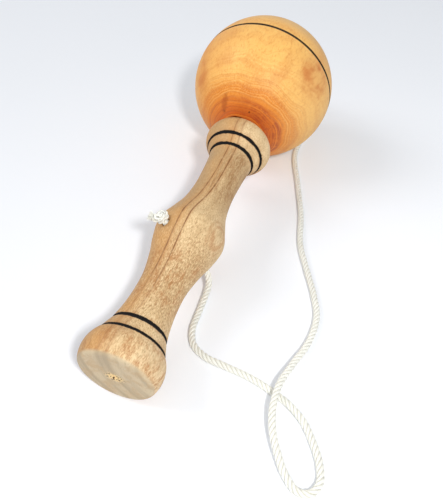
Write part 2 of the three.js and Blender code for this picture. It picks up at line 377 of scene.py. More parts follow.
@dataclass(eq=False)
class Bench:
    """Lays out the nodes of one tree."""

    tree: Tree

    def add(self, kind: str, inputs: Inputs | None = None, **settings: Any) -> Node:
        """A node with its settings made, and then its inputs set or linked.

        Args:
            kind: The node's type.
            inputs: Values or signals for its inputs, by name or number.
            **settings: The node's own settings.

        Returns:
            The new node.
        """
        node = self.tree.nodes.new(kind)
        for name, value in settings.items():
            setattr(node, name, value)
        for key, value in (inputs or {}).items():
            self.feed(node.inputs[key], value)
        return node

    def feed(self, socket: bpy.types.NodeSocket, value: Any) -> None:
        """Links a signal to an input, or sets the input to a value.

        Args:
            socket: The input.
            value: A signal, or a value.
        """
        if isinstance(value, Signal):
            self.tree.links.new(value.socket, socket)
        else:
            socket.default_value = value

    def take(self, kind: str, inputs: Inputs | None = None, output: str | int = 0, **settings: Any) -> Signal:
        """One output of a node that is set up as by add."""
        return Signal(self, self.add(kind, inputs, **settings).outputs[output])

    def maths(self, operation: str, *values: Any, clamp: bool = False) -> Signal:
        """A Math node's answer."""
        return self.take("ShaderNodeMath", dict(enumerate(values)), operation=operation, use_clamp=clamp)

    def vector(self, operation: str, *values: Any, **named: Any) -> Signal:
        """A Vector Math node's answer, a vector or a value as the operation has it."""
        output = "Value" if operation in ("LENGTH", "DOT_PRODUCT") else "Vector"
        return self.take("ShaderNodeVectorMath", dict(enumerate(values)) | named, output, operation=operation)

    def xyz(self, x: Any = 0.0, y: Any = 0.0, z: Any = 0.0) -> Signal:
        """A vector of three values."""
        return self.take("ShaderNodeCombineXYZ", {0: x, 1: y, 2: z})

    def split(self, vector: Signal) -> list[Signal]:
        """The three values of a vector."""
        return [Signal(self, out) for out in self.add("ShaderNodeSeparateXYZ", {0: vector}).outputs]

    def noise(
        self, vector: Signal, scale: Any, detail: float = 2.0, rough: float = 0.5, stir: float = 0.0
    ) -> Signal:
        """A Noise Texture's value, about 0.5 in the middle."""
        values = {"Vector": vector, "Scale": scale, "Detail": detail, "Roughness": rough, "Distortion": stir}
        return self.take("ShaderNodeTexNoise", values, "Fac")

    def blend(self, share: Any, first: Any, second: Any) -> Signal:
        """The first colour with a share of the second mixed in."""
        return self.take("ShaderNodeMix", {0: share, 6: first, 7: second}, 2, data_type="RGBA")

    def ramp(self, value: Signal, stops: tuple[tuple[float, Colour], ...]) -> Signal:
        """A Colour Ramp.

        Args:
            value: What it is read with, from 0 to 1.
            stops: Its places and colours.

        Returns:
            The colour.
        """
        node = self.add("ShaderNodeValToRGB", {0: value})
        elements = node.color_ramp.elements
        elements[0].position, elements[0].color = stops[0]
        elements[1].position, elements[1].color = stops[-1]
        for place, colour in stops[1:-1]:
            elements.new(place).color = colour
        return Signal(self, node.outputs[0])

    def give(self, *results: Signal) -> None:
        """Adds the tree's output node, with its results."""
        self.add("NodeGroupOutput", dict(enumerate(results)))


def open_tree(
    name: str, kind: str, inputs: dict[str, str], outputs: dict[str, str]
) -> tuple[Bench, dict[str, Signal]]:
    """An empty node tree with its sockets.

    Args:
        name: Its name.
        kind: Its type.
        inputs: Names and types of its inputs.
        outputs: Names and types of its outputs.

    Returns:
        Its bench, and its inputs by name.
    """
    tree = bpy.data.node_groups.new(name, kind)
    for way, sockets in (("INPUT", inputs), ("OUTPUT", outputs)):
        for label, socket_type in sockets.items():
            tree.interface.new_socket(name=label, in_out=way, socket_type=socket_type)
    bench = Bench(tree)
    given = bench.add("NodeGroupInput").outputs
    return bench, {label: Signal(bench, given[label]) for label in inputs}


@dataclass(frozen=True)
class Stroke:
    """How a line in the wood is drawn, in millimetres and in shares."""

    half_width: float
    soft: float
    ragged: float
    breaks: float


@dataclass(frozen=True)
class PinKnot:
    """A small knot or stain in the wood."""

    place: Point
    shape: Point
    size: float
    strength: float = 1.0
    tone: Colour = tint(96, 44, 20)


class Effect(Enum):
    """The shared shader effects, by the name of their node group."""

    GROWTH_RINGS = "growth_rings"
    LINE = "line_mask"
    FIBRES = "wood_fibres"
    SPOT = "spot_mask"


class EffectShelf:
    """Builds each shared effect once, and places it in any material.

    A noise is its scale, detail and raggedness, or the last two where its scale is an input.
    """

    RING_STRETCH = (0.3, 1.0, 1.0)
    RING_NOISE = (2.0, 0.45)
    EDGE_NOISE = (1.3, 3.0, 0.6)
    EDGE_DRIFT = 0.16
    BREAK_NOISE = (0.28, 3.0, 0.6)
    BREAK_EDGES = (0.38, 0.6)
    FLECK_STRETCH = (0.36, 1.0, 1.0)
    FIBRE_NOISE = (4.0, 0.65)
    FLECK_NOISE = (2.0, 0.6)
    CLOUD_NOISE = (0.09, 3.0, 0.55, 0.2)
    SPOT_NOISE = (4.0, 0.6)
    SPOT_RAG = 1.6
    SPOT_CORE = 0.3

    def __init__(self) -> None:
        """Starts with nothing built."""
        self._built: dict[Effect, Tree] = {}

    @staticmethod
    def _open(
        effect: Effect, floats: str, outputs: str, vectors: str = "Place"
    ) -> tuple[Bench, dict[str, Signal]]:
        """An effect's empty group, with the names of its sockets given as lists with commas."""
        inputs = dict.fromkeys(vectors.split(", "), VECTOR) | dict.fromkeys(floats.split(", "), FLOAT)
        return open_tree(effect.value, "ShaderNodeTree", inputs, dict.fromkeys(outputs.split(", "), FLOAT))

    def _growth_rings(self) -> Tree:
        """Distance from the pith of the tree, in millimetres, which wanders as real rings do.

        Returns:
            The node group.
        """
        names = "Pith Left, Pith Up, Lean, Wander, Wander Scale"
        bench, given = self._open(Effect.GROWTH_RINGS, names, "Distance")
        along, left, up = bench.split(given["Place"])
        far = bench.vector("LENGTH", bench.xyz(left - given["Pith Left"], up - given["Pith Up"]))
        drawn = given["Place"].times(*self.RING_STRETCH)
        wander = bench.noise(drawn, given["Wander Scale"], *self.RING_NOISE)
        bench.give(far + along * given["Lean"] + (wander - 0.5) * given["Wander"])
        return bench.tree

    def _line(self) -> Tree:
        """A line where a value is near another, with ragged edges and breaks.

        Returns:
            The node group.
        """
        bench, given = self._open(Effect.LINE, "Value, At, Half Width, Soft, Ragged, Breaks", "Mask")
        place = given["Place"]
        rag = (bench.noise(place, *self.EDGE_NOISE) - 0.5) + (bench.noise(place, self.EDGE_DRIFT) - 0.5)
        gap = bench.maths("ABSOLUTE", given["Value"] - given["At"]) + rag * given["Ragged"]
        line = gap.fall(given["Half Width"], given["Half Width"] + given["Soft"])
        patchy = bench.noise(place, *self.BREAK_NOISE).fall(*self.BREAK_EDGES)
        kept = bench.maths("SUBTRACT", 1.0, patchy * given["Breaks"])
        bench.give(bench.maths("MULTIPLY", line, kept, clamp=True))
        return bench.tree

    def _fibres(self) -> Tree:
        """Fine fibres, short flecks and broad clouds that run lengthwise.

        Returns:
            The node group.
        """
        bench, given = self._open(Effect.FIBRES, "Fibre Scale, Fleck Scale, Stretch", "Fibre, Fleck, Cloud")
        drawn = bench.vector("MULTIPLY", given["Place"], bench.xyz(given["Stretch"], 1.0, 1.0))
        half_drawn = given["Place"].times(*self.FLECK_STRETCH)
        fibre = bench.noise(drawn, given["Fibre Scale"], *self.FIBRE_NOISE)
        fleck = bench.noise(half_drawn, given["Fleck Scale"], *self.FLECK_NOISE)
        bench.give(fibre, fleck, bench.noise(half_drawn, *self.CLOUD_NOISE))
        return bench.tree

    def _spot(self) -> Tree:
        """A ragged round spot, such as a pin knot.

        Returns:
            The node group.
        """
        bench, given = self._open(Effect.SPOT, "Size, Ragged", "Mask", "Place, Centre, Shape")
        place, size = given["Place"], given["Size"]
        away = bench.vector("DIVIDE", bench.vector("SUBTRACT", place, given["Centre"]), given["Shape"])
        rag = bench.noise(place, bench.maths("DIVIDE", self.SPOT_RAG, size), *self.SPOT_NOISE) - 0.5
        far = bench.vector("LENGTH", away) + rag * given["Ragged"]
        bench.give(far.fall(size * self.SPOT_CORE, size))
        return bench.tree

    def place(self, bench: Bench, effect: Effect, **inputs: Any) -> list[Signal]:
        """Puts an effect in a material.

        Args:
            bench: The material's bench.
            effect: Which effect.
            **inputs: Its inputs, with underscores for spaces.

        Returns:
            What it puts out.
        """
        makers = {
            Effect.GROWTH_RINGS: self._growth_rings, Effect.LINE: self._line,
            Effect.FIBRES: self._fibres, Effect.SPOT: self._spot,
        }
        if effect not in self._built:
            self._built[effect] = makers[effect]()
        values = {name.replace("_", " "): value for name, value in inputs.items()}
        node = bench.add("ShaderNodeGroup", values, node_tree=self._built[effect])
        return [Signal(bench, out) for out in node.outputs]

    def line(self, place: Signal, value: Signal, at: float, stroke: Stroke) -> Signal:
        """The mask of a line where a value comes to a number.

        Args:
            place: Where the material is read.
            value: The value.
            at: The number.
            stroke: How the line is drawn.

        Returns:
            The mask.
        """
        return self.place(
            place.bench, Effect.LINE, Place=place, Value=value, At=at, Half_Width=stroke.half_width,
            Soft=stroke.soft, Ragged=stroke.ragged, Breaks=stroke.breaks,
        )[0]

    def spot(self, place: Signal, knot: PinKnot, ragged: float) -> Signal:
        """The mask of a knot or stain.

        Args:
            place: Where the material is read.
            knot: The knot.
            ragged: How ragged its edge is.

        Returns:
            The mask.
        """
        return self.place(
            place.bench, Effect.SPOT, Place=place, Centre=knot.place, Shape=knot.shape, Size=knot.size,
            Ragged=ragged,
        )[0]


# ---- Finishes ----


def new_material(name: str) -> tuple[bpy.types.Material, Bench, Node]:
    """A material with a bare Principled shader.

    Args:
        name: Its name.

    Returns:
        The material, its bench and the shader.
    """
    material = bpy.data.materials.new(name)
    material.use_nodes = True
    material.node_tree.nodes.clear()
    bench = Bench(material.node_tree)
    shader = bench.add("ShaderNodeBsdfPrincipled")
    bench.add("ShaderNodeOutputMaterial", {"Surface": Signal(bench, shader.outputs[0])})
    return material, bench, shader


def dress(shader: Node, colour: Signal, rough: Any, specular: float, bump: Signal | None = None) -> None:
    """Feeds a shader.

    Args:
        shader: The Principled shader.
        colour: Its colour.
        rough: Its roughness.
        specular: Its specular level.
        bump: Its normal.
    """
    colour.bench.feed(shader.inputs["Base Color"], colour)
    colour.bench.feed(shader.inputs["Roughness"], rough)
    shader.inputs["Specular IOR Level"].default_value = specular
    if bump:
        bump.bench.feed(shader.inputs["Normal"], bump)


def bumps(height: Signal, strength: float, depth: float) -> Signal:
    """A Bump node's normal, with its depth in millimetres."""
    return height.bench.take("ShaderNodeBump", {"Height": height, "Strength": strength, "Distance": depth * MM})


@dataclass(frozen=True)
class BurntLine:
    """A line burnt into the turning with a wire."""

    at: float
    half_width: float


@dataclass(frozen=True)
class Fade:
    """A strength that eases from one amount to another as a value goes from one place to another."""

    low: float
    high: float
    at_low: float = 0.0
    at_high: float = 1.0
    how: str = "SMOOTHSTEP"

    def of(self, value: Signal) -> Signal:
        """The strength at a value."""
        return value.spread(self.low, self.high, self.at_low, self.at_high, self.how)


@dataclass(frozen=True)
class Band:
    """A stretch of a value that fades in between two places and out between two others."""

    start: float
    full: float
    fades: float
    end: float

    def of(self, value: Signal) -> Signal:
        """1 within the stretch, and 0 outside it."""
        return value.rise(self.start, self.full) * value.fall(self.fades, self.end)


@dataclass(frozen=True)
class Patches:
    """A pattern of patches: their scale, detail and raggedness, where they begin, and their strength."""

    scale: float
    detail: float
    rough: float
    begins: float
    full: float
    strength: float = 1.0
    stir: float = 0.0
    least: float = 0.0

    def over(self, vector: Signal) -> Signal:
        """The patches, read at a vector."""
        noise = vector.bench.noise(vector, self.scale, self.detail, self.rough, self.stir)
        return noise.spread(self.begins, self.full, self.least, self.strength)


@dataclass(eq=False)
class Coat:
    """A colour that is built up in layers."""

    bench: Bench
    colour: Any

    def add(self, share: Any, tone: Any) -> None:
        """Lays a share of another colour over it."""
        self.colour = self.bench.blend(share, self.colour, tone)


@dataclass(eq=False)
class Board(Coat):
    """A wood being coloured: its own place, in millimetres, and the patterns of its grain there."""

    place: Signal
    along: Signal
    left: Signal
    rings: Signal
    fibre: Signal
    fleck: Signal
    cloud: Signal


@dataclass(frozen=True)
class TurnedWood:
    """What the woods share: how their grain lies, and the lines burnt into them."""

    axis: TurningAxis
    lines: tuple[BurntLine, ...]
    shelf: EffectShelf
    name: str
    pith: tuple[float, float]
    lean: float
    wander: float
    wander_scale: float
    fibre_scale: float
    fleck_scale: float
    stretch: float
    char_soft: float
    char_ragged: float

    def _board(self, bench: Bench) -> Board:
        """Bare wood, its grain laid along the axis that the piece was turned about.

        Args:
            bench: The material's bench.

        Returns:
            The wood, without a colour.
        """
        values = {
            "Vector": bench.take("ShaderNodeTexCoord", output="Object"), "Location": tuple(self.axis.origin),
            "Rotation": tuple(self.axis.frame.to_euler("XYZ")), "Scale": (MM, MM, MM),
        }
        place = bench.take("ShaderNodeMapping", values, vector_type="TEXTURE")
        along, left, _ = bench.split(place)
        rings, = self.shelf.place(
            bench, Effect.GROWTH_RINGS, Place=place, Pith_Left=self.pith[0], Pith_Up=self.pith[1],
            Lean=self.lean, Wander=self.wander, Wander_Scale=self.wander_scale,
        )
        fibres = self.shelf.place(
            bench, Effect.FIBRES, Place=place, Fibre_Scale=self.fibre_scale, Fleck_Scale=self.fleck_scale,
            Stretch=self.stretch,
        )
        return Board(bench, None, place, along, left, rings, *fibres)

    def _line(self, board: Board, line: BurntLine, soft: float, ragged: float, breaks: float = 0.0) -> Signal:
        """The mask of a burnt line, or of the smoke beside it."""
        return self.shelf.line(board.place, board.along, line.at, Stroke(line.half_width, soft, ragged, breaks))

    def _burnt(self, board: Board) -> Signal:
        """The mask of all the burnt lines."""
        masks = [self._line(board, line, self.char_soft, self.char_ragged) for line in self.lines]
        return reduce(Signal.most, masks)


@dataclass(frozen=True)
class PaleWood(TurnedWood):
    """Pale fine-grained wood, sanded but not varnished."""

    name: str = "pale_turned_wood"
    pith: tuple[float, float] = (-27.0, 12.0)
    lean: float = 0.035
    wander: float = 1.1
    wander_scale: float = 0.07
    fibre_scale: float = 2.4
    fleck_scale: float = 2.7
    stretch: float = 0.12
    char_soft: float = 0.2
    char_ragged: float = 0.5
    specular: float = 0.28
    body: Colour = tint(228, 197, 149)
    warm: Colour = tint(212, 160, 98)
    pale: Colour = tint(244, 220, 178)
    grey: Colour = tint(186, 152, 108)
    ruddy: Colour = tint(182, 126, 76)
    glint: Colour = tint(242, 218, 174)
    fleck: Colour = tint(160, 118, 74)
    dark_vein: Colour = tint(88, 60, 36)
    end_pale: Colour = tint(208, 188, 155)
    end_grey: Colour = tint(168, 148, 121)
    end_brown: Colour = tint(192, 160, 119)
    torn: Colour = tint(238, 208, 154)
    speck: Colour = tint(84, 54, 30)
    char: Colour = tint(12, 8, 6)
    # Stretches of the handle, in millimetres from the foot.
    foot: Fade = Fade(7.0, 13.0, 1.0, 0.0)
    low_stem: Band = Band(18.0, 30.0, 40.0, 52.0)
    bulge: Band = Band(50.0, 53.0, 62.0, 65.0)
    neck: Band = Band(68.0, 80.0, 97.0, 101.0)
    end_face: Fade = Fade(0.25, 1.3, 1.0, 0.0)
    # Stretches of the growth rings.
    warm_side: Fade = Fade(26.9, 32.2)
    pale_edge: Fade = Fade(23.0, 17.0, 0.0, 0.75)
    streak_side: Band = Band(23.0, 25.5, 29.5, 31.5)
    # Broad tones.
    bands: Patches = Patches(0.45, 3.0, 0.6, 0.45, 0.75, 0.4)
    clouds: Fade = Fade(0.42, 0.72, 0.0, 0.65)
    low_grey: float = 0.3
    mottle: Patches = Patches(0.5, 5.0, 0.8, 0.44, 0.62, 0.8)
    mottle_stretch: Point = (0.4, 1.0, 1.0)
    neck_clouds: Fade = Fade(0.3, 0.6, 0.15, 0.7)
    streaks: Patches = Patches(0.8, 4.0, 0.7, 0.42, 0.62, 0.85)
    streak_stretch: Point = (0.16, 1.0, 1.0)
    # Short flecks are strongest low down and on the side of the pith.
    flecks: Fade = Fade(0.5, 0.66, 0.0, 0.75)
    glints: Fade = Fade(0.48, 0.34, 0.0, 0.6)
    threads: Fade = Fade(0.5, 0.7, 0.0, 0.4)
    flecks_high: Fade = Fade(44.0, 62.0, 1.0, 0.55)
    flecks_warm: Fade = Fade(0.0, 1.0, 1.0, 0.6)
    flecks_low: Fade = Fade(9.0, 20.0, 0.6, 1.0)
    # Dark veins and the rings of the eye, by growth ring and strength. The mottling hides the veins low down.
    veins: tuple[tuple[float, float], ...] = ((28.4, 1.0), (31.2, 0.95))
    vein_stroke: Stroke = Stroke(0.1, 0.22, 0.26, 0.5)
    veins_low: Fade = Fade(16.0, 46.0, 0.25, 1.0)
    veins_high: Fade = Fade(94.0, 103.0, 1.0, 0.6)
    halo_stroke: Stroke = Stroke(0.1, 1.1, 0.8, 0.4)
    halo_strength: float = 0.4
    eye_rings: tuple[tuple[float, float], ...] = ((19.85, 0.6), (20.7, 0.42))
    eye_stroke: Stroke = Stroke(0.1, 0.4, 0.8, 0.5)
    # The foot's flat end, with the torn mark of the lathe.
    stripe_bow: Point = (0.0, 0.05, 0.05)
    stripes: Patches = Patches(0.3, 2.0, 0.5, 0.4, 0.66, 0.7)
    end_patches: Patches = Patches(0.22, 3.0, 0.6, 0.44, 0.68, 0.6, 0.4)
    pores: Patches = Patches(2.4, 3.0, 0.65, 0.52, 0.68, 0.4)
    pore_stretch: Point = (1.0, 1.0, 0.18)
    lathe_mark: PinKnot = PinKnot((0.5, 0.0, 0.0), (1.6, 1.25, 0.9), 3.5)
    mark_ragged: float = 1.6
    mark_depth: float = 5.0
    chewed_scale: float = 1.5
    chewed_rough: float = 0.6
    chewed_edge: Fade = Fade(0.53, 0.58)
    # Smoke beside the burnt lines, and the surface.
    smoke: tuple[float, float, float] = (1.1, 1.6, 0.8)
    smoke_strength: float = 0.4
    roughness: Fade = Fade(0.3, 0.75, 0.5, 0.66, "LINEAR")
    burnt_roughness: float = 0.34
    fibre_height: float = 0.7
    fleck_height: float = 0.45
    bump: tuple[float, float] = (0.5, 0.12)

    def _tone(self, board: Board, warm_side: Signal) -> None:
        """The broad tones: the warm side, the pale edge, grey bands, and ruddy and streaked stretches.

        Args:
            board: The wood.
            warm_side: The mask of the side away from the pith.
        """
        board.add(warm_side, self.warm)
        board.add(self.pale_edge.of(board.rings), self.pale)
        board.add(self.bands.over(board.bench.xyz(board.rings)), self.grey)
        board.add(self.clouds.of(board.cloud), self.grey)
        low, neck = self.low_stem.of(board.along), self.neck.of(board.along)
        board.add(low * self.low_grey, self.grey)
        mottle = self.mottle.over(board.place.times(*self.mottle_stretch))
        board.add(low.most(self.foot.of(board.along)) * mottle, self.ruddy)
        board.add(neck * self.neck_clouds.of(board.cloud), self.grey)
        streaks = self.streaks.over(board.place.times(*self.streak_stretch))
        board.add(streaks * self.streak_side.of(board.rings) * neck, self.fleck)

    def _speckle(self, board: Board, warm_side: Signal) -> None:
        """Short flecks and glints, and fine threads.

        Args:
            board: The wood.
            warm_side: The mask of the side away from the pith.
        """
        speckled = self.flecks_high.of(board.along) * self.flecks_warm.of(warm_side)
        speckled *= self.flecks_low.of(board.along)
        board.add(self.flecks.of(board.fleck) * speckled, self.fleck)
        board.add(self.glints.of(board.fleck) * speckled, self.glint)
        board.add(self.threads.of(board.fibre), self.ruddy)

    def _vein(self, board: Board) -> None:
        """The two dark veins, and the eye on the bulge.

        Args:
            board: The wood.
        """
        place, rings = board.place, board.rings
        kept = self.veins_low.of(board.along) * self.veins_high.of(board.along)
        for at, strength in self.veins:
            board.add(self.shelf.line(place, rings, at, self.vein_stroke) * strength * kept, self.dark_vein)
            board.add(self.shelf.line(place, rings, at, self.halo_stroke) * self.halo_strength, self.ruddy)
        bulge = self.bulge.of(board.along)
        for at, strength in self.eye_rings:
            board.add(self.shelf.line(place, rings, at, self.eye_stroke) * strength * bulge, self.ruddy)

    def _end_grain(self, board: Board) -> Signal:
        """End grain on the foot's flat end: broad stripes, and the torn mark of the lathe.

        Args:
            board: The wood.

        Returns:
            The height of the torn mark.
        """
        bench, place = board.bench, board.place
        end = Coat(bench, self.end_pale)
        bowed = bench.vector("MULTIPLY_ADD", place, self.stripe_bow, bench.xyz(board.rings))
        end.add(self.stripes.over(bowed), self.end_grey)
        end.add(self.end_patches.over(place), self.end_brown)
        end.add(self.pores.over(place.times(*self.pore_stretch)), self.end_grey)
        board.add(self.end_face.of(board.along), end.colour)
        mark = self.shelf.spot(place, self.lathe_mark, self.mark_ragged)
        chewed = bench.noise(place, self.chewed_scale, rough=self.chewed_rough)
        board.add(mark, bench.blend(self.chewed_edge.of(chewed), self.torn, self.speck))
        return mark * chewed * self.mark_depth

    def make(self) -> bpy.types.Material:
        """Builds the material.

        Returns:
            The material.
        """
        material, bench, shader = new_material(self.name)
        board = self._board(bench)
        board.colour = self.body
        warm_side = self.warm_side.of(board.rings)
        self._tone(board, warm_side)
        self._speckle(board, warm_side)
        self._vein(board)
        torn_height = self._end_grain(board)
        for line in self.lines:
            board.add(self._line(board, line, *self.smoke) * self.smoke_strength, self.ruddy)
        burnt = self._burnt(board)
        board.add(burnt, self.char)
        rough = self.roughness.of(board.fibre) + burnt * self.burnt_roughness
        height = board.fibre * self.fibre_height + board.fleck * self.fleck_height + torn_height
        dress(shader, board.colour, rough, self.specular, bumps(height, *self.bump))
        return material


@dataclass(frozen=True)
class AmberWood(TurnedWood):
    """Orange-brown wood with a soft polish, its heart along the bore."""

    name: str = "amber_polished_wood"
    pith: tuple[float, float] = (-1.2, -2.2)
    lean: float = 0.0
    wander: float = 2.6
    wander_scale: float = 0.075
    fibre_scale: float = 1.8
    fleck_scale: float = 1.3
    stretch: float = 0.3
    char_soft: float = 0.2
    char_ragged: float = 0.16
    char_strength: float = 0.97
    specular: float = 0.3
    heart: Colour = tint(212, 102, 22)
    heart_light: Colour = tint(236, 138, 38)
    inner: Colour = tint(234, 144, 48)
    middle: Colour = tint(249, 187, 97)
    outer: Colour = tint(251, 194, 106)
    beige: Colour = tint(226, 184, 124)
    ring: Colour = tint(206, 110, 38)
    pale: Colour = tint(253, 212, 130)
    russet: Colour = tint(168, 62, 30)
    blush: Colour = tint(200, 104, 42)
    char: Colour = tint(16, 10, 6)
    # From the pith outwards.
    reach: Fade = Fade(0.0, 32.0, 0.0, 1.0, "LINEAR")
    heartwood: Fade = Fade(15.4, 16.4, 1.0, 0.0)
    outside: Fade = Fade(15.0, 21.0, 0.15, 1.0)
    # The heartwood is orange on one side and red-brown on the other, with tight rings.
    russet_side: Fade = Fade(-9.0, 6.0, 0.95, 0.0)
    russet_streaks: Patches = Patches(0.35, 3.0, 0.6, 0.36, 0.62, 1.0, 0.5, 0.25)
    tight_row: float = 7.0
    inner_rings: Patches = Patches(1.3, 3.0, 0.75, 0.5, 0.62, 0.8)
    bright_rings: Patches = Patches(1.7, 2.0, 0.6, 0.5, 0.38, 0.7)
    # The rings further out wave as they go round, and the finer ones fade outwards.
    wave: float = 3.6
    wave_noise: tuple[float, float, float] = (0.11, 1.5, 0.4)
    broad_rings: Patches = Patches(0.42, 2.0, 0.5, 0.42, 0.66, 0.2)
    narrow_rings: Patches = Patches(1.5, 3.0, 0.7, 0.48, 0.62, 0.62)
    narrow_fade: Fade = Fade(17.0, 28.0, 1.0, 0.24)
    pale_rings: Patches = Patches(1.25, 3.0, 0.65, 0.48, 0.66, 0.5)
    pale_fade: Fade = Fade(23.0, 30.0, 1.0, 0.55)
    # Blushed rings, by distance from the pith and strength.
    blushed: tuple[tuple[float, float], ...] = ((16.2, 0.7), (20.0, 0.26), (23.6, 0.2))
    ring_stroke: Stroke = Stroke(0.08, 0.6, 0.4, 0.6)
    clouds: Fade = Fade(0.48, 0.72, 0.0, 0.35)
    shimmer: Fade = Fade(0.42, 0.68, 0.0, 0.3)
    flecks: Fade = Fade(0.5, 0.7, 0.0, 0.3)
    # The left-hand side is more orange, and the far cap and the right-hand side are beiger.
    orange_side: Fade = Fade(3.0, 25.0, 0.0, 0.36)
    beige_side: Fade = Fade(-12.0, -26.0, 0.0, 0.32)
    beige_cap: Fade = Fade(3.0, 14.0, 0.0, 0.6)
    knots: tuple[PinKnot, ...] = (
        PinKnot((-28.1, -4.1, 9.6), (1.0, 0.9, 0.9), 0.62, 0.95),
        PinKnot((-28.2, 6.7, 7.3), (1.0, 1.0, 1.0), 0.8, 0.6),
        PinKnot((-27.0, 7.0, 10.6), (2.4, 1.0, 3.0), 1.9, 0.6, tint(170, 78, 16)),
    )
    blotches: tuple[PinKnot, ...] = (
        PinKnot((-6.3, -24.2, 16.4), (1.3, 1.0, 1.5), 9.0, 0.75),
        PinKnot((-4.0, 14.0, 26.0), (1.2, 1.5, 1.0), 4.5, 0.3),
        PinKnot((-16.0, 21.0, 12.0), (1.2, 1.0, 1.2), 8.0, 0.45),
    )
    blotch_ragged: float = 10.0
    smudge: Patches = Patches(0.16, 2.0, 0.55, 0.36, 0.66, 1.0, 0.3, 0.2)
    roughness: Fade = Fade(0.3, 0.7, 0.44, 0.56, "LINEAR")
    burnt_roughness: float = 0.25
    fibre_height: float = 0.4
    fleck_height: float = 0.3
    bump: tuple[float, float] = (0.3, 0.08)

    @property
    def tones(self) -> tuple[tuple[float, Colour], ...]:
        """The tones from the pith out to the surface.

        Returns:
            Shares of the reach, each with its colour.
        """
        return (
            (0.0, self.heart), (0.4, self.heart), (0.5, self.heart_light), (0.53, self.inner),
            (0.62, self.inner), (0.74, self.middle), (0.88, self.outer), (1.0, self.outer),
        )

    def _heartwood(self, board: Board) -> None:
        """The heartwood by the bore.

        Args:
            board: The wood.
        """
        heartwood = self.heartwood.of(board.rings)
        russet = self.russet_side.of(board.left) * heartwood * self.russet_streaks.over(board.place)
        board.add(russet, self.russet)
        tight = board.bench.xyz(board.rings, self.tight_row)
        board.add(self.inner_rings.over(tight) * heartwood, self.russet)
        board.add(self.bright_rings.over(tight) * heartwood, self.heart_light)

    def _growth(self, board: Board, outside: Signal) -> None:
        """The rings further out.

        Args:
            board: The wood.
            outside: The mask of the wood outside the heart.
        """
        bench, rings = board.bench, board.rings
        swell = bench.noise(board.place, *self.wave_noise) - 0.5
        wavy = bench.maths("MULTIPLY_ADD", swell, self.wave, rings)
        read_at = bench.xyz(wavy)
        board.add(self.broad_rings.over(read_at), self.ring)
        board.add(self.narrow_rings.over(read_at) * self.narrow_fade.of(rings), self.ring)
        board.add(self.pale_rings.over(read_at) * self.pale_fade.of(rings) * outside, self.pale)
        for at, strength in self.blushed:
            board.add(self.shelf.line(board.place, wavy, at, self.ring_stroke) * strength, self.blush)

    def _figure(self, board: Board, outside: Signal) -> None:
        """Clouds, shimmer and flecks, the drift of the tone from side to side, stains and pin knots.

        Args:
            board: The wood.
            outside: The mask of the wood outside the heart.
        """
        board.add(self.clouds.of(board.cloud), self.blush)
        board.add(self.shimmer.of(board.fibre) * outside, self.pale)
        board.add(self.flecks.of(board.fleck), self.ring)
        board.add(self.orange_side.of(board.left), self.inner)
        board.add(self.beige_cap.of(board.along).most(self.beige_side.of(board.left)), self.beige)
        smudge = self.smudge.over(board.place)
        for blotch in self.blotches:
            mask = self.shelf.spot(board.place, blotch, self.blotch_ragged) * smudge
            board.add(mask * blotch.strength, self.blush)
        for knot in self.knots:
            board.add(self.shelf.spot(board.place, knot, knot.size) * knot.strength, knot.tone)

    def make(self) -> bpy.types.Material:
        """Builds the material.

        Returns:
            The material.
        """
        material, bench, shader = new_material(self.name)
        board = self._board(bench)
        board.colour = bench.ramp(self.reach.of(board.rings), self.tones)
        outside = self.outside.of(board.rings)
        self._heartwood(board)
        self._growth(board, outside)
        self._figure(board, outside)
        burnt = self._burnt(board)
        board.add(burnt * self.char_strength, self.char)
        rough = self.roughness.of(board.cloud) + burnt * self.burnt_roughness
        height = board.fibre * self.fibre_height + board.fleck * self.fleck_height
        dress(shader, board.colour, rough, self.specular, bumps(height, *self.bump))
        return material


@dataclass(frozen=True)
class Cotton:
    """White twisted cotton, with painted shade between its strands and yarns. It reads along, in millimetres,
    around, and the painted groove shade, from the cord's own mesh.
    """

    name: str = "white_cotton"
    light: Colour = tint(250, 250, 242)
    # The shade colour is painted shade in the troughs between the yarns, and also the tone of the dirt patches.
    shade: Colour = tint(224, 221, 206)
    # The groove colour is painted shade, laid between the strands where the cord's surface faces away from its
    # middle.
    groove: Colour = tint(168, 162, 138)
    yarns: int = 7
    yarn_lay: float = 1.6
    fuzz: tuple[float, float, float] = (2600.0, 4.0, 0.7)
    fuzz_height: float = 0.8
    # Painted shade in the troughs between the yarns, strongest at the bottom of a trough.
    trough_shade: Fade = Fade(0.0, 0.6, 0.45, 0.0)
    roughness: Fade = Fade(0.3, 0.7, 0.82, 0.96, "LINEAR")
    bump: tuple[float, float] = (0.6, 0.1)
    sheen: tuple[float, float] = (0.25, 0.5)
    specular: float = 0.25
    dirt: Patches = Patches(90.0, 3.0, 0.6, 0.5, 0.75, 0.45)

    def make(self) -> bpy.types.Material:
        """Builds the material.

        Returns:
            The material.
        """
        material, bench, shader = new_material(self.name)
        along, groove = (
            bench.take("ShaderNodeAttribute", output="Fac", attribute_name=name) for name in ("along", "groove")
        )
        x, y, _ = bench.split(bench.take("ShaderNodeAttribute", output="Vector", attribute_name="around"))
        turns = bench.maths("ARCTAN2", y, x) * float(self.yarns)
        wave = bench.maths("SINE", turns + along * (2 * math.pi / self.yarn_lay))
        crest = bench.maths("MULTIPLY_ADD", wave, 0.5, 0.5)
        place = bench.take("ShaderNodeTexCoord", output="Object")
        fuzz = bench.noise(place, *self.fuzz)
        # Painted shade in the yarn troughs, together with real dirt patches, both laid in the shade colour.
        trough_shade_and_dirt = self.trough_shade.of(crest).most(self.dirt.over(place))
        coat = Coat(bench, self.light)
        coat.add(trough_shade_and_dirt, self.shade)
        # Painted shade between the strands, read from the mesh's groove mask.
        coat.add(groove, self.groove)
        normal = bumps(crest + fuzz * self.fuzz_height, *self.bump)
        dress(shader, coat.colour, self.roughness.of(fuzz), self.specular, normal)
        shader.inputs["Sheen Weight"].default_value, shader.inputs["Sheen Roughness"].default_value = self.sheen
        return material


# ---- Geometry Nodes ----


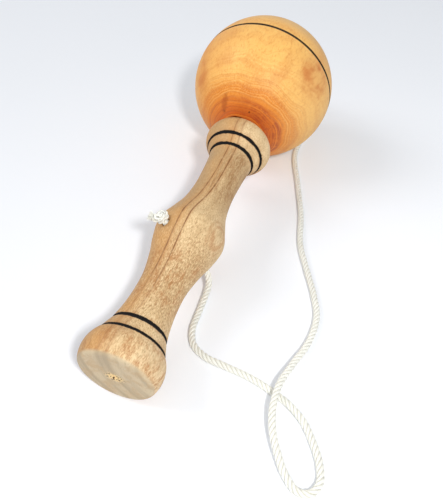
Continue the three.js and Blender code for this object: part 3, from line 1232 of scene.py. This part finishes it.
def run_tree(name: str, source: Piece, tree: Tree, values: dict[str, Any]) -> Piece:
    """Runs a Geometry Nodes tree on an object, and keeps the result as a plain mesh.

    Args:
        name: Name of the finished piece.
        source: The object that the tree works on. It is removed.
        tree: The tree.
        values: Its inputs by name.

    Returns:
        The finished piece.
    """
    modifier = source.modifiers.new(tree.name, "NODES")
    modifier.node_group = tree
    sockets = {item.name: item.identifier for item in tree.interface.items_tree if item.in_out == "INPUT"}
    for label, value in values.items():
        modifier[sockets[label]] = value
    graph = bpy.context.evaluated_depsgraph_get()
    mesh = bpy.data.meshes.new_from_object(source.evaluated_get(graph), depsgraph=graph)
    mesh.name = name
    bpy.data.objects.remove(source)
    return new_object(name, mesh)


def spline_object(name: str, points: np.ndarray) -> Piece:
    """A curve object of one open line.

    Args:
        name: Its name.
        points: Its points, in metres.

    Returns:
        The new object.
    """
    curve = bpy.data.curves.new(name, "CURVE")
    curve.dimensions = "3D"
    spline = curve.splines.new("POLY")
    spline.points.add(len(points) - 1)
    for target, point in zip(spline.points, points):
        target.co = (*point, 1.0)
    return new_object(name, curve)


class Ropewalk:
    """The Geometry Nodes trees that lay strands into a cord and fray its cut end."""

    HAIR_SIDES = 5
    HAIR_BEND = 0.22
    HAIR_LENGTHS = (0.55, 1.1)
    # Facing values over which the painted shade of the grooves fades out.
    GROOVE_FACING = (0.1, 0.72)

    def __init__(self) -> None:
        """Builds both trees."""
        self.twisted = self._twisted_cord()
        self.tuft = self._cotton_tuft()

    @staticmethod
    def _open(name: str, **inputs: str) -> tuple[Bench, dict[str, Signal]]:
        """A tree with a Geometry input and output, and inputs whose names have underscores for spaces."""
        named = {label.replace("_", " "): kind for label, kind in inputs.items()}
        return open_tree(name, "GeometryNodeTree", {"Geometry": GEOMETRY} | named, {"Geometry": GEOMETRY})

    @staticmethod
    def _mark(shape: Signal, name: str, value: Signal, kind: str = "FLOAT") -> Signal:
        """The shape with an attribute stored at its points."""
        values = {"Geometry": shape, "Name": name, "Value": value}
        return shape.bench.take("GeometryNodeStoreNamedAttribute", values, data_type=kind, domain="POINT")

    @staticmethod
    def _tube(line: Signal, profile: Signal) -> Signal:
        """A closed tube along a line."""
        values = {"Curve": line, "Profile Curve": profile, "Fill Caps": True}
        return line.bench.take("GeometryNodeCurveToMesh", values)

    @staticmethod
    def _chance(bench: Bench, seed: Signal, least: Signal, most: Signal) -> Signal:
        """A random vector between two others."""
        values = {0: least, 1: most, "Seed": seed}
        return bench.take("FunctionNodeRandomValue", values, data_type="FLOAT_VECTOR")

    @staticmethod
    def _close(shape: Signal, given: dict[str, Signal]) -> None:
        """Ends a tree: smooth shading, real geometry and the material.

        Args:
            shape: The finished shape.
            given: The tree's inputs.
        """
        bench = shape.bench
        smooth = bench.take("GeometryNodeSetShadeSmooth", {"Geometry": shape})
        real = bench.take("GeometryNodeRealizeInstances", {0: smooth})
        bench.give(bench.take("GeometryNodeSetMaterial", {"Geometry": real, "Material": given["Material"]}))

    def _twisted_cord(self) -> Tree:
        """Strands laid round a line in a right-handed helix.

        Returns:
            The tree.
        """
        bench, given = self._open(
            "twisted_cord", Strands=WHOLE, Sides=WHOLE, Step=FLOAT, Strand_Radius=FLOAT, Lay_Radius=FLOAT,
            Pitch=FLOAT, Flare=FLOAT, Flare_Start=FLOAT, Groove_Shade=FLOAT, Material=MATERIAL,
        )
        values = {"Curve": given["Geometry"], "Length": given["Step"]}
        line = bench.take("GeometryNodeResampleCurve", values, mode="LENGTH")
        values = {"Geometry": line, "Amount": given["Strands"]}
        copies = bench.add("GeometryNodeDuplicateElements", values, domain="SPLINE").outputs
        spline = bench.add("GeometryNodeSplineParameter").outputs
        length = Signal(bench, spline["Length"])
        turns = bench.maths("DIVIDE", length, given["Pitch"])
        share = bench.maths("DIVIDE", Signal(bench, copies["Duplicate Index"]), given["Strands"])
        angle = (turns + share) * (2 * math.pi)
        normal = bench.take("GeometryNodeInputNormal")
        side = bench.vector("CROSS_PRODUCT", bench.take("GeometryNodeInputTangent"), normal)
        outward = bench.vector(
            "ADD", bench.vector("SCALE", normal, Scale=bench.maths("COSINE", angle)),
            bench.vector("SCALE", side, Scale=bench.maths("SINE", angle)),
        )
        opened = Signal(bench, spline["Factor"]).rise(given["Flare Start"], 1.0)
        reach = given["Lay Radius"] * bench.maths("MULTIPLY_ADD", opened, given["Flare"], 1.0)
        pointed = self._mark(Signal(bench, copies[0]), "outward", outward, "FLOAT_VECTOR")
        values = {"Geometry": pointed, "Offset": bench.vector("SCALE", outward, Scale=reach)}
        laid = self._mark(bench.take("GeometryNodeSetPosition", values), "along", length * (1 / MM))
        circle = bench.take("GeometryNodeCurvePrimitiveCircle", {"Resolution": given["Sides"], "Radius": 1.0})
        rim = self._mark(circle, "around", bench.take("GeometryNodeInputPosition"), "FLOAT_VECTOR")
        values = {"Geometry": rim, "Scale": bench.xyz(*[given["Strand Radius"]] * 3)}
        tube = self._tube(laid, bench.take("GeometryNodeTransform", values))
        # A place that faces out of the cord is on a strand's crest, and one that doesn't is in a groove, where
        # painted shade is laid.
        stored = bench.take("GeometryNodeInputNamedAttribute", {"Name": "outward"}, data_type="FLOAT_VECTOR")
        facing = bench.vector("DOT_PRODUCT", bench.take("GeometryNodeInputNormal"), stored)
        groove_shading = facing.fall(*self.GROOVE_FACING, most=given["Groove Shade"])
        self._close(self._mark(tube, "groove", groove_shading), given)
        return bench.tree

    def _cotton_tuft(self) -> Tree:
        """A brush of short fibres that fans out from a cut end.

        Returns:
            The tree.
        """
        bench, given = self._open(
            "cotton_tuft", Fibres=WHOLE, Length=FLOAT, Fibre_Radius=FLOAT, Root_Radius=FLOAT, Spread=FLOAT,
            Seed=WHOLE, Place=VECTOR, Turn=VECTOR, Material=MATERIAL,
        )
        reach, length, seed, fan = (given[name] for name in ("Root Radius", "Length", "Seed", "Spread"))
        least = reach * -1.0
        root = self._chance(bench, seed, bench.xyz(least, least), bench.xyz(reach, reach))
        roots = bench.take("GeometryNodePoints", {"Count": given["Fibres"], "Position": root})
        fibre = bench.take("GeometryNodeCurveQuadraticBezier", {
            "Resolution": self.HAIR_SIDES, "Start": (0.0, 0.0, 0.0),
            "Middle": bench.xyz(length * self.HAIR_BEND, 0.0, length * 0.5), "End": bench.xyz(0.0, 0.0, length),
        })
        back = fan * -1.0
        turn = self._chance(bench, seed + 1.0, bench.xyz(back, back), bench.xyz(fan, fan, 2 * math.pi))
        shortest, longest = self.HAIR_LENGTHS
        values = {2: shortest, 3: longest, "Seed": seed + 2.0}
        size = bench.take("FunctionNodeRandomValue", values, 1, data_type="FLOAT")
        brush = bench.take("GeometryNodeInstanceOnPoints", {
            "Points": roots, "Instance": fibre, "Rotation": turn, "Scale": size,
        })
        loose = bench.take("GeometryNodeRealizeInstances", {0: brush})
        values = {"Resolution": self.HAIR_SIDES, "Radius": given["Fibre Radius"]}
        hairs = self._tube(loose, bench.take("GeometryNodeCurvePrimitiveCircle", values))
        values = {"Geometry": hairs, "Translation": given["Place"], "Rotation": given["Turn"]}
        self._close(bench.take("GeometryNodeTransform", values), given)
        return bench.tree


# ---- Sub-assemblies ----


@dataclass
class TurnedHandle:
    """The handle with its peg, turned in one piece, and the cord's hole through its bulge."""

    axis: TurningAxis
    shelf: EffectShelf
    sides: int = 160
    hole_at: float = 54.5
    hole_rise: float = math.radians(55)
    hole_radius: float = 1.65
    hole_lip: float = 0.45
    hole_sides: int = 48
    cutter_room: float = 0.2
    cutter_start: float = 0.05
    cutter_past: float = 2.5
    foot_length: float = 5.0
    mark_depth: float = 2.0
    mark_radius: float = 3.2
    mark_step: float = 0.16
    tear_reach: float = 2.1
    tear_wander: float = 0.5
    tear_depth: float = 0.14
    tear_rough: float = 0.16
    tear_edge: float = 0.5
    tear_turn: float = 0.6
    lines: tuple[BurntLine, ...] = (
        BurntLine(11.2, 0.6), BurntLine(16.5, 0.64), BurntLine(101.4, 0.56), BurntLine(105.4, 0.46),
    )
    smoother: OutlineSmoother = field(default_factory=OutlineSmoother)
    outline: Outline = field(default_factory=list)

    def __post_init__(self) -> None:
        """Reads the outline from the CAD node."""
        self.outline = rings_of(frame["nodes"]["handle"], self.axis)

    @property
    def hole_way(self) -> Vector:
        """The direction of the hole, towards the knot."""
        return self.axis.left * math.cos(self.hole_rise) + self.axis.up * math.sin(self.hole_rise)

    @property
    def hole_middle(self) -> Vector:
        """Where the hole crosses the handle's axis."""
        return self.axis.place(self.hole_at)

    @property
    def hole_mouth(self) -> float:
        """The handle's radius at the hole, in millimetres."""
        places = np.array([p for p in self.outline if p[0] > self.foot_length])
        return float(np.interp(self.hole_at, places[:, 0], places[:, 1]))

    def _end_face(self, fine: Outline) -> Outline:
        """The outline with close rings round the lathe's mark, so that its torn edge can be shaped.

        Args:
            fine: The fine outline.

        Returns:
            The outline with the extra rings.
        """
        closer: Outline = []
        for here, after in zip(fine, fine[1:]):
            closer.append(here)
            near_mark = here[0] < self.mark_depth and min(here[1], after[1]) < self.mark_radius
            count = math.ceil(math.dist(here, after) / self.mark_step) if near_mark else 1
            between = [tuple(a + (b - a) * t for a, b in zip(here, after)) for t in np.arange(1, count) / count]
            closer += [point for point in between if point[1] < self.mark_radius]
        return [*closer, fine[-1]]

    def _tear_mark(self, piece: Piece) -> None:
        """Roughens the lathe's mark in the foot, as torn end grain.

        Args:
            piece: The handle.
        """
        corners = np.array([v.co for v in piece.data.vertices])
        along, left, up = ((corners - np.array(self.axis.origin)) @ np.array(self.axis.frame) / MM).T
        radius = np.hypot(left, up)
        reach = self.tear_reach + self.tear_wander * np.sin(2 * np.arctan2(up, left) + self.tear_turn)
        near = (along < self.mark_depth) & (radius < reach)
        rough = np.sin(left * 5.1 + 1.7 * np.sin(up * 4.3)) * np.cos(up * 6.7 + left * 2.1)
        depth = (self.tear_depth + self.tear_rough * rough) * np.clip((reach - radius) / self.tear_edge, 0, 1)
        corners[near] += np.outer(depth[near], np.array(self.axis.along)) * MM
        piece.data.vertices.foreach_set("co", corners.ravel())
        piece.data.update()

    def _drill(self, piece: Piece) -> None:
        """Cuts the cord's hole, with eased mouths.

        Args:
            piece: The handle.
        """
        mouth, lip = self.hole_mouth, self.hole_lip
        half = [(0.0, self.hole_radius)]
        half += arc(mouth - lip, self.hole_radius + lip, lip, -math.pi / 2, 0.0, LIP_STEP)
        wide, past = half[-1][1] + self.cutter_room, mouth + self.cutter_past
        half += [(mouth + self.cutter_start, wide), (past, wide), (past, 0.0)]
        outline = [(-s, r) for s, r in reversed(half[1:])] + half
        drill_axis = TurningAxis(self.hole_middle, self.hole_way)
        cutter = turn_on_lathe("hole_cutter", outline, drill_axis, self.hole_sides)
        cut = piece.modifiers.new("cord_hole", "BOOLEAN")
        cut.operation, cut.solver, cut.object = "DIFFERENCE", "EXACT", cutter
        graph = bpy.context.evaluated_depsgraph_get()
        drilled = bpy.data.meshes.new_from_object(piece.evaluated_get(graph), depsgraph=graph)
        piece.modifiers.clear()
        piece.data = drilled
        bpy.data.objects.remove(cutter)

    def build(self) -> Piece:
        """Turns, drills and finishes the handle.

        Returns:
            The handle.
        """
        fine = self._end_face(self.smoother.smooth(self.outline))
        piece = turn_on_lathe("turned_handle", fine, self.axis, self.sides)
        self._tear_mark(piece)
        self._drill(piece)
        piece.data.set_sharp_from_angle(angle=SHARP_EDGE)
        piece.data.materials.clear()
        piece.data.materials.append(PaleWood(self.axis, self.lines, self.shelf).make())
        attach(piece, "handle")
        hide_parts("handle")
        return piece


@dataclass
class BoredBall:
    """The ball, with the bore that takes the peg and the small hole for the cord."""

    axis: TurningAxis
    shelf: EffectShelf
    radius: float = 30.0
    bore_radius: float = 6.6
    bore_end: float = 14.3
    floor_curve: float = 0.5
    line_at: float = 1.6
    line_half_width: float = 0.5
    line_depth: float = 0.35
    burn_half_width: float = 0.58
    hole_radius: float = 1.65
    lip: float = 0.4
    floor_edge: float = 0.2
    floor_step: float = 0.15
    wall_step: float = 1.0
    sides: int = 180
    step: float = 0.6
    # The groove under the burnt line: places across it, and shares of its depth.
    groove: tuple[tuple[float, float], ...] = ((-0.3, 0.45), (-0.15, 1.0), (0.15, 1.0), (0.3, 0.45))

    @property
    def far_pole(self) -> Vector:
        """Where the cord leaves the ball."""
        return self.axis.place(self.radius)

    def _section(self) -> Outline:
        """The closed section of the ball, from the floor of the bore round to the cord's hole.

        Returns:
            Its points.
        """
        bore, hole, lip, end = self.bore_radius, self.hole_radius, self.lip, self.bore_end
        at, half, radius, curve = self.line_at, self.line_half_width, self.radius, self.floor_curve
        mouth, pole = math.pi - math.asin((bore + lip) / radius), math.asin((hole + lip) / radius)
        before, after = math.acos((at - half) / radius), math.acos((at + half) / radius)
        mouth_at, pole_at = radius * math.cos(mouth), radius * math.cos(pole)
        points: Outline = [(end, hole + self.floor_edge), (end, bore - curve)]
        points += arc(end - curve, bore - curve, curve, 0.0, math.pi / 2, self.floor_step)
        points += [(float(s), bore) for s in np.arange(end - 1.5, mouth_at + lip + 0.3, -self.wall_step)]
        points += arc(mouth_at + lip, bore + lip, lip, 1.5 * math.pi, math.pi + 0.25, LIP_STEP)
        points += arc(0, 0, radius, mouth - 0.004, before, self.step)
        points += [(at + s, radius - share * self.line_depth) for s, share in self.groove]
        points += arc(0, 0, radius, after, pole + 0.003, self.step)
        points += arc(pole_at - lip, hole + lip, lip, -0.15, -math.pi / 2, LIP_STEP)
        points += [(float(s), hole) for s in np.arange(pole_at - lip - 1.0, end + 0.4, -self.wall_step)]
        return [*points, (end + self.floor_edge, hole)]

    def build(self) -> Piece:
        """Turns and finishes the ball.

        Returns:
            The ball.
        """
        piece = turn_on_lathe("bored_ball", self._section(), self.axis, self.sides, ring_shaped=True)
        piece.data.set_sharp_from_angle(angle=SHARP_EDGE)
        line = BurntLine(self.line_at, self.burn_half_width)
        piece.data.materials.append(AmberWood(self.axis, (line,), self.shelf).make())
        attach(piece, "ball")
        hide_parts("ball")
        return piece


@dataclass(frozen=True)
class StopperKnot:
    """A small overhand knot: how far its loops reach, its cord in the hole, and its cut end."""

    size: float
    entry: float
    tail: float
    flare: float


@dataclass
class SlackCord:
    """The cord, from the knot in the ball's bore to the knot on the handle's bulge."""

    ball: BoredBall
    handle: TurnedHandle
    ropewalk: Ropewalk
    cotton: bpy.types.Material
    diameter: float = 2.5
    strand_radius: float = 0.56
    lay_radius: float = 0.69
    pitch: float = 7.4
    strands: int = 4
    sides: int = 9
    step: float = 0.36
    line_step: float = 0.4
    straight_out: float = 1.4
    groove_shade: float = 0.52
    knot_ease: float = 0.84
    knot_shade: float = 0.35
    knot_flatness: float = 0.42
    knot_points: int = 30
    knot_gap: float = 0.4
    knot_step: float = 0.25
    handle_tie: StopperKnot = StopperKnot(1.75, 3.4, 1.5, 0.9)
    ball_tie: StopperKnot = StopperKnot(1.8, 3.6, 1.4, 0.6)
    handle_tail_way: Point = (-0.1, 0.97, 0.2)
    flare_start: float = 0.8
    fibres: int = 90
    fibre_length: float = 1.9
    fibre_radius: float = 0.07
    fibre_root: float = 0.8
    fibre_spread: float = 0.75
    fibre_seed: int = 11
    handle_knot_rise: float = 2.2
    ball_knot_depth: float = 3.3
    # Where it lies on the table. X is measured from the middle of the ball.
    lies: tuple[Point, ...] = (
        (35.6, -1.6, 34.9), (38.6, -2.4, 31.6), (39.9, -3.6, 26), (40.4, -5.6, 18), (39.6, -8.8, 9.5),
        (36.6, -12.6, 3.8), (30.5, -16, 1.7), (18, -18.5, 1.3), (-3, -19.2, 1.3), (-24.4, -26.3, 1.3),
        (-43.3, -32.7, 1.3), (-60.9, -37.2, 1.3), (-72, -42.3, 1.3), (-84.9, -48.6, 1.3),
        (-95, -52.1, 1.3), (-106.7, -52, 1.5), (-117.6, -49.5, 2.5), (-126.8, -47.8, 3.9),
        (-132.6, -47.8, 4.4), (-138.6, -48.7, 4.2), (-144.4, -50.8, 3.4), (-149.5, -53.9, 2.5),
        (-154, -57.3, 1.8), (-157.3, -61.6, 1.4), (-156.6, -65.4, 1.3), (-152.8, -67.2, 1.3),
        (-147, -65.7, 1.3), (-141.4, -62.4, 1.3), (-136, -58.2, 1.3), (-131.9, -52.7, 1.3),
        (-129.2, -46.2, 1.3), (-127, -38.8, 1.3), (-125.6, -28.9, 1.3), (-124.6, -21.8, 1.3),
        (-121.7, -16.6, 1.3), (-116, -13.6, 1.3), (-108, -12.8, 1.5), (-100.8, -12.4, 2.2),
        (-96.6, -12, 3.3), (-94.8, -11.3, 5.2),
    )
    bend_from: float = -0.030
    bend_to: float = 0.074

    def centreline(self) -> np.ndarray:
        """The line that the cord follows, in metres.

        Returns:
            Its points, close together.
        """
        ball, handle, mouth = self.ball, self.handle, self.handle.hole_mouth
        stops = (ball.bore_end, (ball.bore_end + ball.radius) / 2, ball.radius + self.straight_out)
        points = [ball.axis.place(at) for at in stops]
        points += [Vector((x * MM + ball.axis.origin.x, y * MM, z * MM)) for x, y, z in self.lies]
        through = (-mouth - self.straight_out, 0.0, mouth)
        points += [handle.hole_middle + handle.hole_way * at * MM for at in through]
        return smooth_through(np.array(points), self.line_step * MM)

    def _lay(self, name: str, line: np.ndarray, shade: float, flare: float = 0.0, ease: float = 1.0) -> Piece:
        """Lays strands along a line.

        Args:
            name: Name of the piece.
            line: The line, in metres.
            shade: How strong the painted shade in the grooves between the strands is, from 0 to 1.
            flare: How far the strands open at the end.
            ease: Share of the cord's full thickness.

        Returns:
            The piece.
        """
        return run_tree(name, spline_object(name + "_line", line), self.ropewalk.twisted, {
            "Strands": self.strands, "Sides": self.sides, "Step": self.step * MM,
            "Strand Radius": self.strand_radius * ease * MM, "Lay Radius": self.lay_radius * ease * MM,
            "Pitch": self.pitch * MM, "Flare": flare, "Flare Start": self.flare_start, "Groove Shade": shade,
            "Material": self.cotton,
        })

    def _knot_line(self, middle: Vector, out: Vector, tail_way: Vector, knot: StopperKnot) -> np.ndarray:
        """The line of a small overhand knot, drawn up tight and lying flat.

        Args:
            middle: The middle of the knot.
            out: The way that the cord comes through its hole.
            tail_way: The way that the cut end points.
            knot: Its sizes.

        Returns:
            The points, in metres.
        """
        first = (tail_way - out * tail_way.dot(out)).normalized()
        second = out.cross(first)
        loops = []
        for t in np.linspace(2 * math.pi - self.knot_gap, self.knot_gap, self.knot_points):
            r = (2 + math.cos(3 * t)) / 3 * knot.size
            flat = first * math.cos(2 * t) + second * math.sin(2 * t)
            rise = math.sin(3 * t) * knot.size * self.knot_flatness
            loops.append(middle + (flat * r + out * rise) * MM)
        start = [middle - out * knot.entry * MM, middle - out * knot.entry * 0.45 * MM + first * 0.2 * MM]
        last = loops[-1]
        end = [last + (first * 0.25 + tail_way * 0.25) * knot.tail * MM, last + tail_way * knot.tail * MM]
        return smooth_through(np.array(start + loops + end), self.knot_step * MM)

    def _tie_on_handle(self) -> Piece:
        """The stopper knot on the bulge, with its frayed end.

        Returns:
            The knot.
        """
        way = self.handle.hole_way
        middle = self.handle.hole_middle + way * (self.handle.hole_mouth + self.handle_knot_rise) * MM
        tie = self.handle_tie
        line = self._knot_line(middle, way, Vector(self.handle_tail_way).normalized(), tie)
        piece = self._lay("handle_stopper_knot", line, self.knot_shade, tie.flare, self.knot_ease)
        tip, before = Vector(line[-1]), Vector(line[-6])
        turn = (tip - before).to_track_quat("Z", "Y").to_euler("XYZ")
        tuft = run_tree("frayed_end", spline_object("tuft_line", line[-3:]), self.ropewalk.tuft, {
            "Fibres": self.fibres, "Length": self.fibre_length * MM, "Fibre Radius": self.fibre_radius * MM,
            "Root Radius": self.fibre_root * MM, "Spread": self.fibre_spread, "Seed": self.fibre_seed,
            "Place": tuple(tip), "Turn": tuple(turn), "Material": self.cotton,
        })
        pair = [piece, tuft]
        with bpy.context.temp_override(
            active_object=piece, object=piece, selected_objects=pair, selected_editable_objects=pair
        ):
            bpy.ops.object.join()
        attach(piece, "handle")
        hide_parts("handle_knot")
        return piece

    def _tie_in_ball(self) -> Piece:
        """The stopper knot at the end of the bore.

        Returns:
            The knot.
        """
        axis = self.ball.axis
        tail_way = (axis.left - axis.along * 0.8).normalized()
        middle = axis.place(self.ball.bore_end - self.ball_knot_depth)
        line = self._knot_line(middle, -axis.along, tail_way, self.ball_tie)
        piece = self._lay("ball_stopper_knot", line, self.knot_shade, self.ball_tie.flare, self.knot_ease)
        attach(piece, "ball_tether")
        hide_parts("ball_knot")
        return piece

    def build(self) -> list[Piece]:
        """Lays the cord and ties its knots.

        Returns:
            The cord, the knot on the handle and the knot in the ball.
        """
        line = self.centreline()
        cord = self._lay("cotton_cord", line, self.groove_shade)
        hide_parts("cord")
        handle_knot = self._tie_on_handle()
        ball_knot = self._tie_in_ball()
        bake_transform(cord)
        tuple(self.ball.far_pole)
        self.diameter * MM
        return [cord, handle_knot, ball_knot]


# ---- Studio ----


@dataclass(frozen=True)
class Viewpoint:
    """Where the camera stands and how it is held."""

    place: Point = (-0.175212, -0.0617, 0.1666)
    yaw: float = math.radians(71.87)
    pitch: float = math.radians(44.48)
    roll: float = math.radians(2.98)
    lens: float = 43.73
    sensor: float = 36.0
    clip: tuple[float, float] = (0.005, 20.0)

    def build(self) -> None:
        """Sets up the camera."""
        level = Vector((math.sin(self.yaw), math.cos(self.yaw), 0.0))
        ahead = level * math.cos(self.pitch) - Vector((0.0, 0.0, math.sin(self.pitch)))
        right = Vector((math.cos(self.yaw), -math.sin(self.yaw), 0.0))
        up = right.cross(ahead)
        side = right * math.cos(self.roll) + up * math.sin(self.roll)
        top = up * math.cos(self.roll) - right * math.sin(self.roll)
        data = bpy.data.cameras.new("camera")
        data.lens, data.sensor_width = self.lens, self.sensor
        data.clip_start, data.clip_end = self.clip
        camera = new_object("camera", data)
        camera.matrix_world = Matrix.Translation(self.place) @ Matrix((side, top, -ahead)).transposed().to_4x4()
        bpy.context.scene.camera = camera


@dataclass(frozen=True)
class SoftLamp:
    """A square lamp that points at the toy."""

    name: str
    place: Point
    size: float
    power: float
    colour: Point
    aim: Point = (0.0, -0.02, 0.02)

    def build(self) -> None:
        """Hangs the lamp."""
        data = bpy.data.lights.new(self.name, "AREA")
        data.shape, data.size, data.energy, data.color = "SQUARE", self.size, self.power, self.colour
        lamp = new_object(self.name, data)
        lamp.location = self.place
        lamp.rotation_euler = (Vector(self.aim) - Vector(self.place)).to_track_quat("-Z", "Y").to_euler()


def seen_directly(bench: Bench) -> Signal:
    """Whether a ray comes from the camera, or from a reflection or through something clear.

    Args:
        bench: The bench of the material or world.

    Returns:
        1 for such rays and 0 for light.
    """
    rays = bench.add("ShaderNodeLightPath").outputs
    kinds = ("Is Camera Ray", "Is Glossy Ray", "Is Transmission Ray")
    return reduce(Signal.most, [Signal(bench, rays[kind]) for kind in kinds])


@dataclass(frozen=True)
class Studio:
    """A plain pale table under soft light."""

    table_size: float = 6.0
    table_colour: Colour = tint(232, 234, 238)
    table_rough: float = 0.9
    table_specular: float = 0.2
    table_shade: float = 0.97
    table_mottle: Patches = Patches(8.0, 3.0, 0.5, 0.35, 0.7, 0.35)
    camera_glow: float = 0.165
    far_glow: float = 0.42
    far: tuple[float, float] = (0.3, 1.5)
    glow_colour: Colour = (0.97, 0.985, 1.0, 1.0)
    sky_colour: Colour = (0.93, 0.96, 1.0, 1.0)
    sky_strength: float = 0.43
    sky_shown: float = 0.92
    lamps: tuple[SoftLamp, ...] = (
        SoftLamp("front_lamp", (-0.27, -0.185, 0.33), 0.045, 1.25, (1.0, 0.99, 0.97)),
        SoftLamp("window_lamp", (-0.3, 1.6, 1.5), 1.1, 16.5, (0.97, 0.98, 1.0)),
    )

    def _table(self) -> Piece:
        """The table top.

        Returns:
            The table.
        """
        half = self.table_size / 2
        corners = [(-half, -half, 0), (half, -half, 0), (half, half, 0), (-half, half, 0)]
        mesh = bpy.data.meshes.new("table_top")
        mesh.from_pydata(corners, [], [(0, 1, 2, 3)])
        material, bench, shader = new_material("table_white")
        place = bench.take("ShaderNodeTexCoord", output="Object")
        coat = Coat(bench, self.table_colour)
        coat.add(self.table_mottle.over(place), dimmed(self.table_colour, self.table_shade))
        dress(shader, coat.colour, self.table_rough, self.table_specular)
        # Far from the toy the table glows up to the sky's tone, so that its edge doesn't show.
        glow = Coat(bench, dimmed(self.glow_colour, self.camera_glow / self.far_glow))
        glow.add(bench.vector("LENGTH", place).rise(*self.far), self.glow_colour)
        bench.feed(shader.inputs["Emission Color"], glow.colour)
        bench.feed(shader.inputs["Emission Strength"], seen_directly(bench) * self.far_glow)
        mesh.materials.append(material)
        return new_object("table_top", mesh)

    def build(self) -> None:
        """Sets up the table, the lamps and the sky."""
        self._table()
        for lamp in self.lamps:
            lamp.build()
        world = bpy.data.worlds.new("studio_sky")
        world.use_nodes = True
        bench = Bench(world.node_tree)
        background = world.node_tree.nodes["Background"]
        background.inputs["Color"].default_value = self.sky_colour
        strength = seen_directly(bench).spread(0.0, 1.0, self.sky_strength, self.sky_shown, "LINEAR")
        bench.feed(background.inputs["Strength"], strength)
        bpy.context.scene.world = world
        bpy.context.scene.view_settings.view_transform = "Standard"


# ---- The toy ----


def named(rows: list[dict[str, Any]], name: str) -> dict[str, Any]:
    """The row of a list that has a name."""
    return next(row for row in rows if row["name"] == name)


def handle_axis(mount_above_middle: float = 6.0) -> TurningAxis:
    """The handle's axis, from the mount on its flat end.

    Args:
        mount_above_middle: How far the mount is above the middle of the foot's end, in millimetres.

    Returns:
        The axis, from the middle of the foot's end towards the ball.
    """
    mount = named(frame["record"]["mounts"], "foot_end")
    along = -Vector(mount["axis"]).normalized()
    up = TurningAxis(Vector((0, 0, 0)), along).up
    return TurningAxis(Vector(mount["pos_m"]) - up * mount_above_middle * MM, along)


def ball_axis() -> TurningAxis:
    """The axis that the ball turns on, from its centre towards the cord's hole."""
    spin = named(frame["joints"], "ball_spin")
    return TurningAxis(Vector(spin["pos_m"]), Vector(spin["axis"]).normalized())


def main() -> None:
    """Builds the looks in order and reports each piece."""
    logging.basicConfig(level=logging.INFO, format="%(name)s: %(message)s")
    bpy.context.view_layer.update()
    shelf = EffectShelf()
    Viewpoint().build()
    ball = BoredBall(ball_axis(), shelf)
    handle = TurnedHandle(handle_axis(), shelf)
    pieces = SlackCord(ball, handle, Ropewalk(), Cotton().make()).build()
    pieces += [handle.build(), ball.build()]
    Studio().build()
    for piece in pieces:
        piece.data.calc_loop_triangles()
        log.info("%s: %d triangles", piece.name, len(piece.data.loop_triangles))


if __name__ == "__main__":
    main()
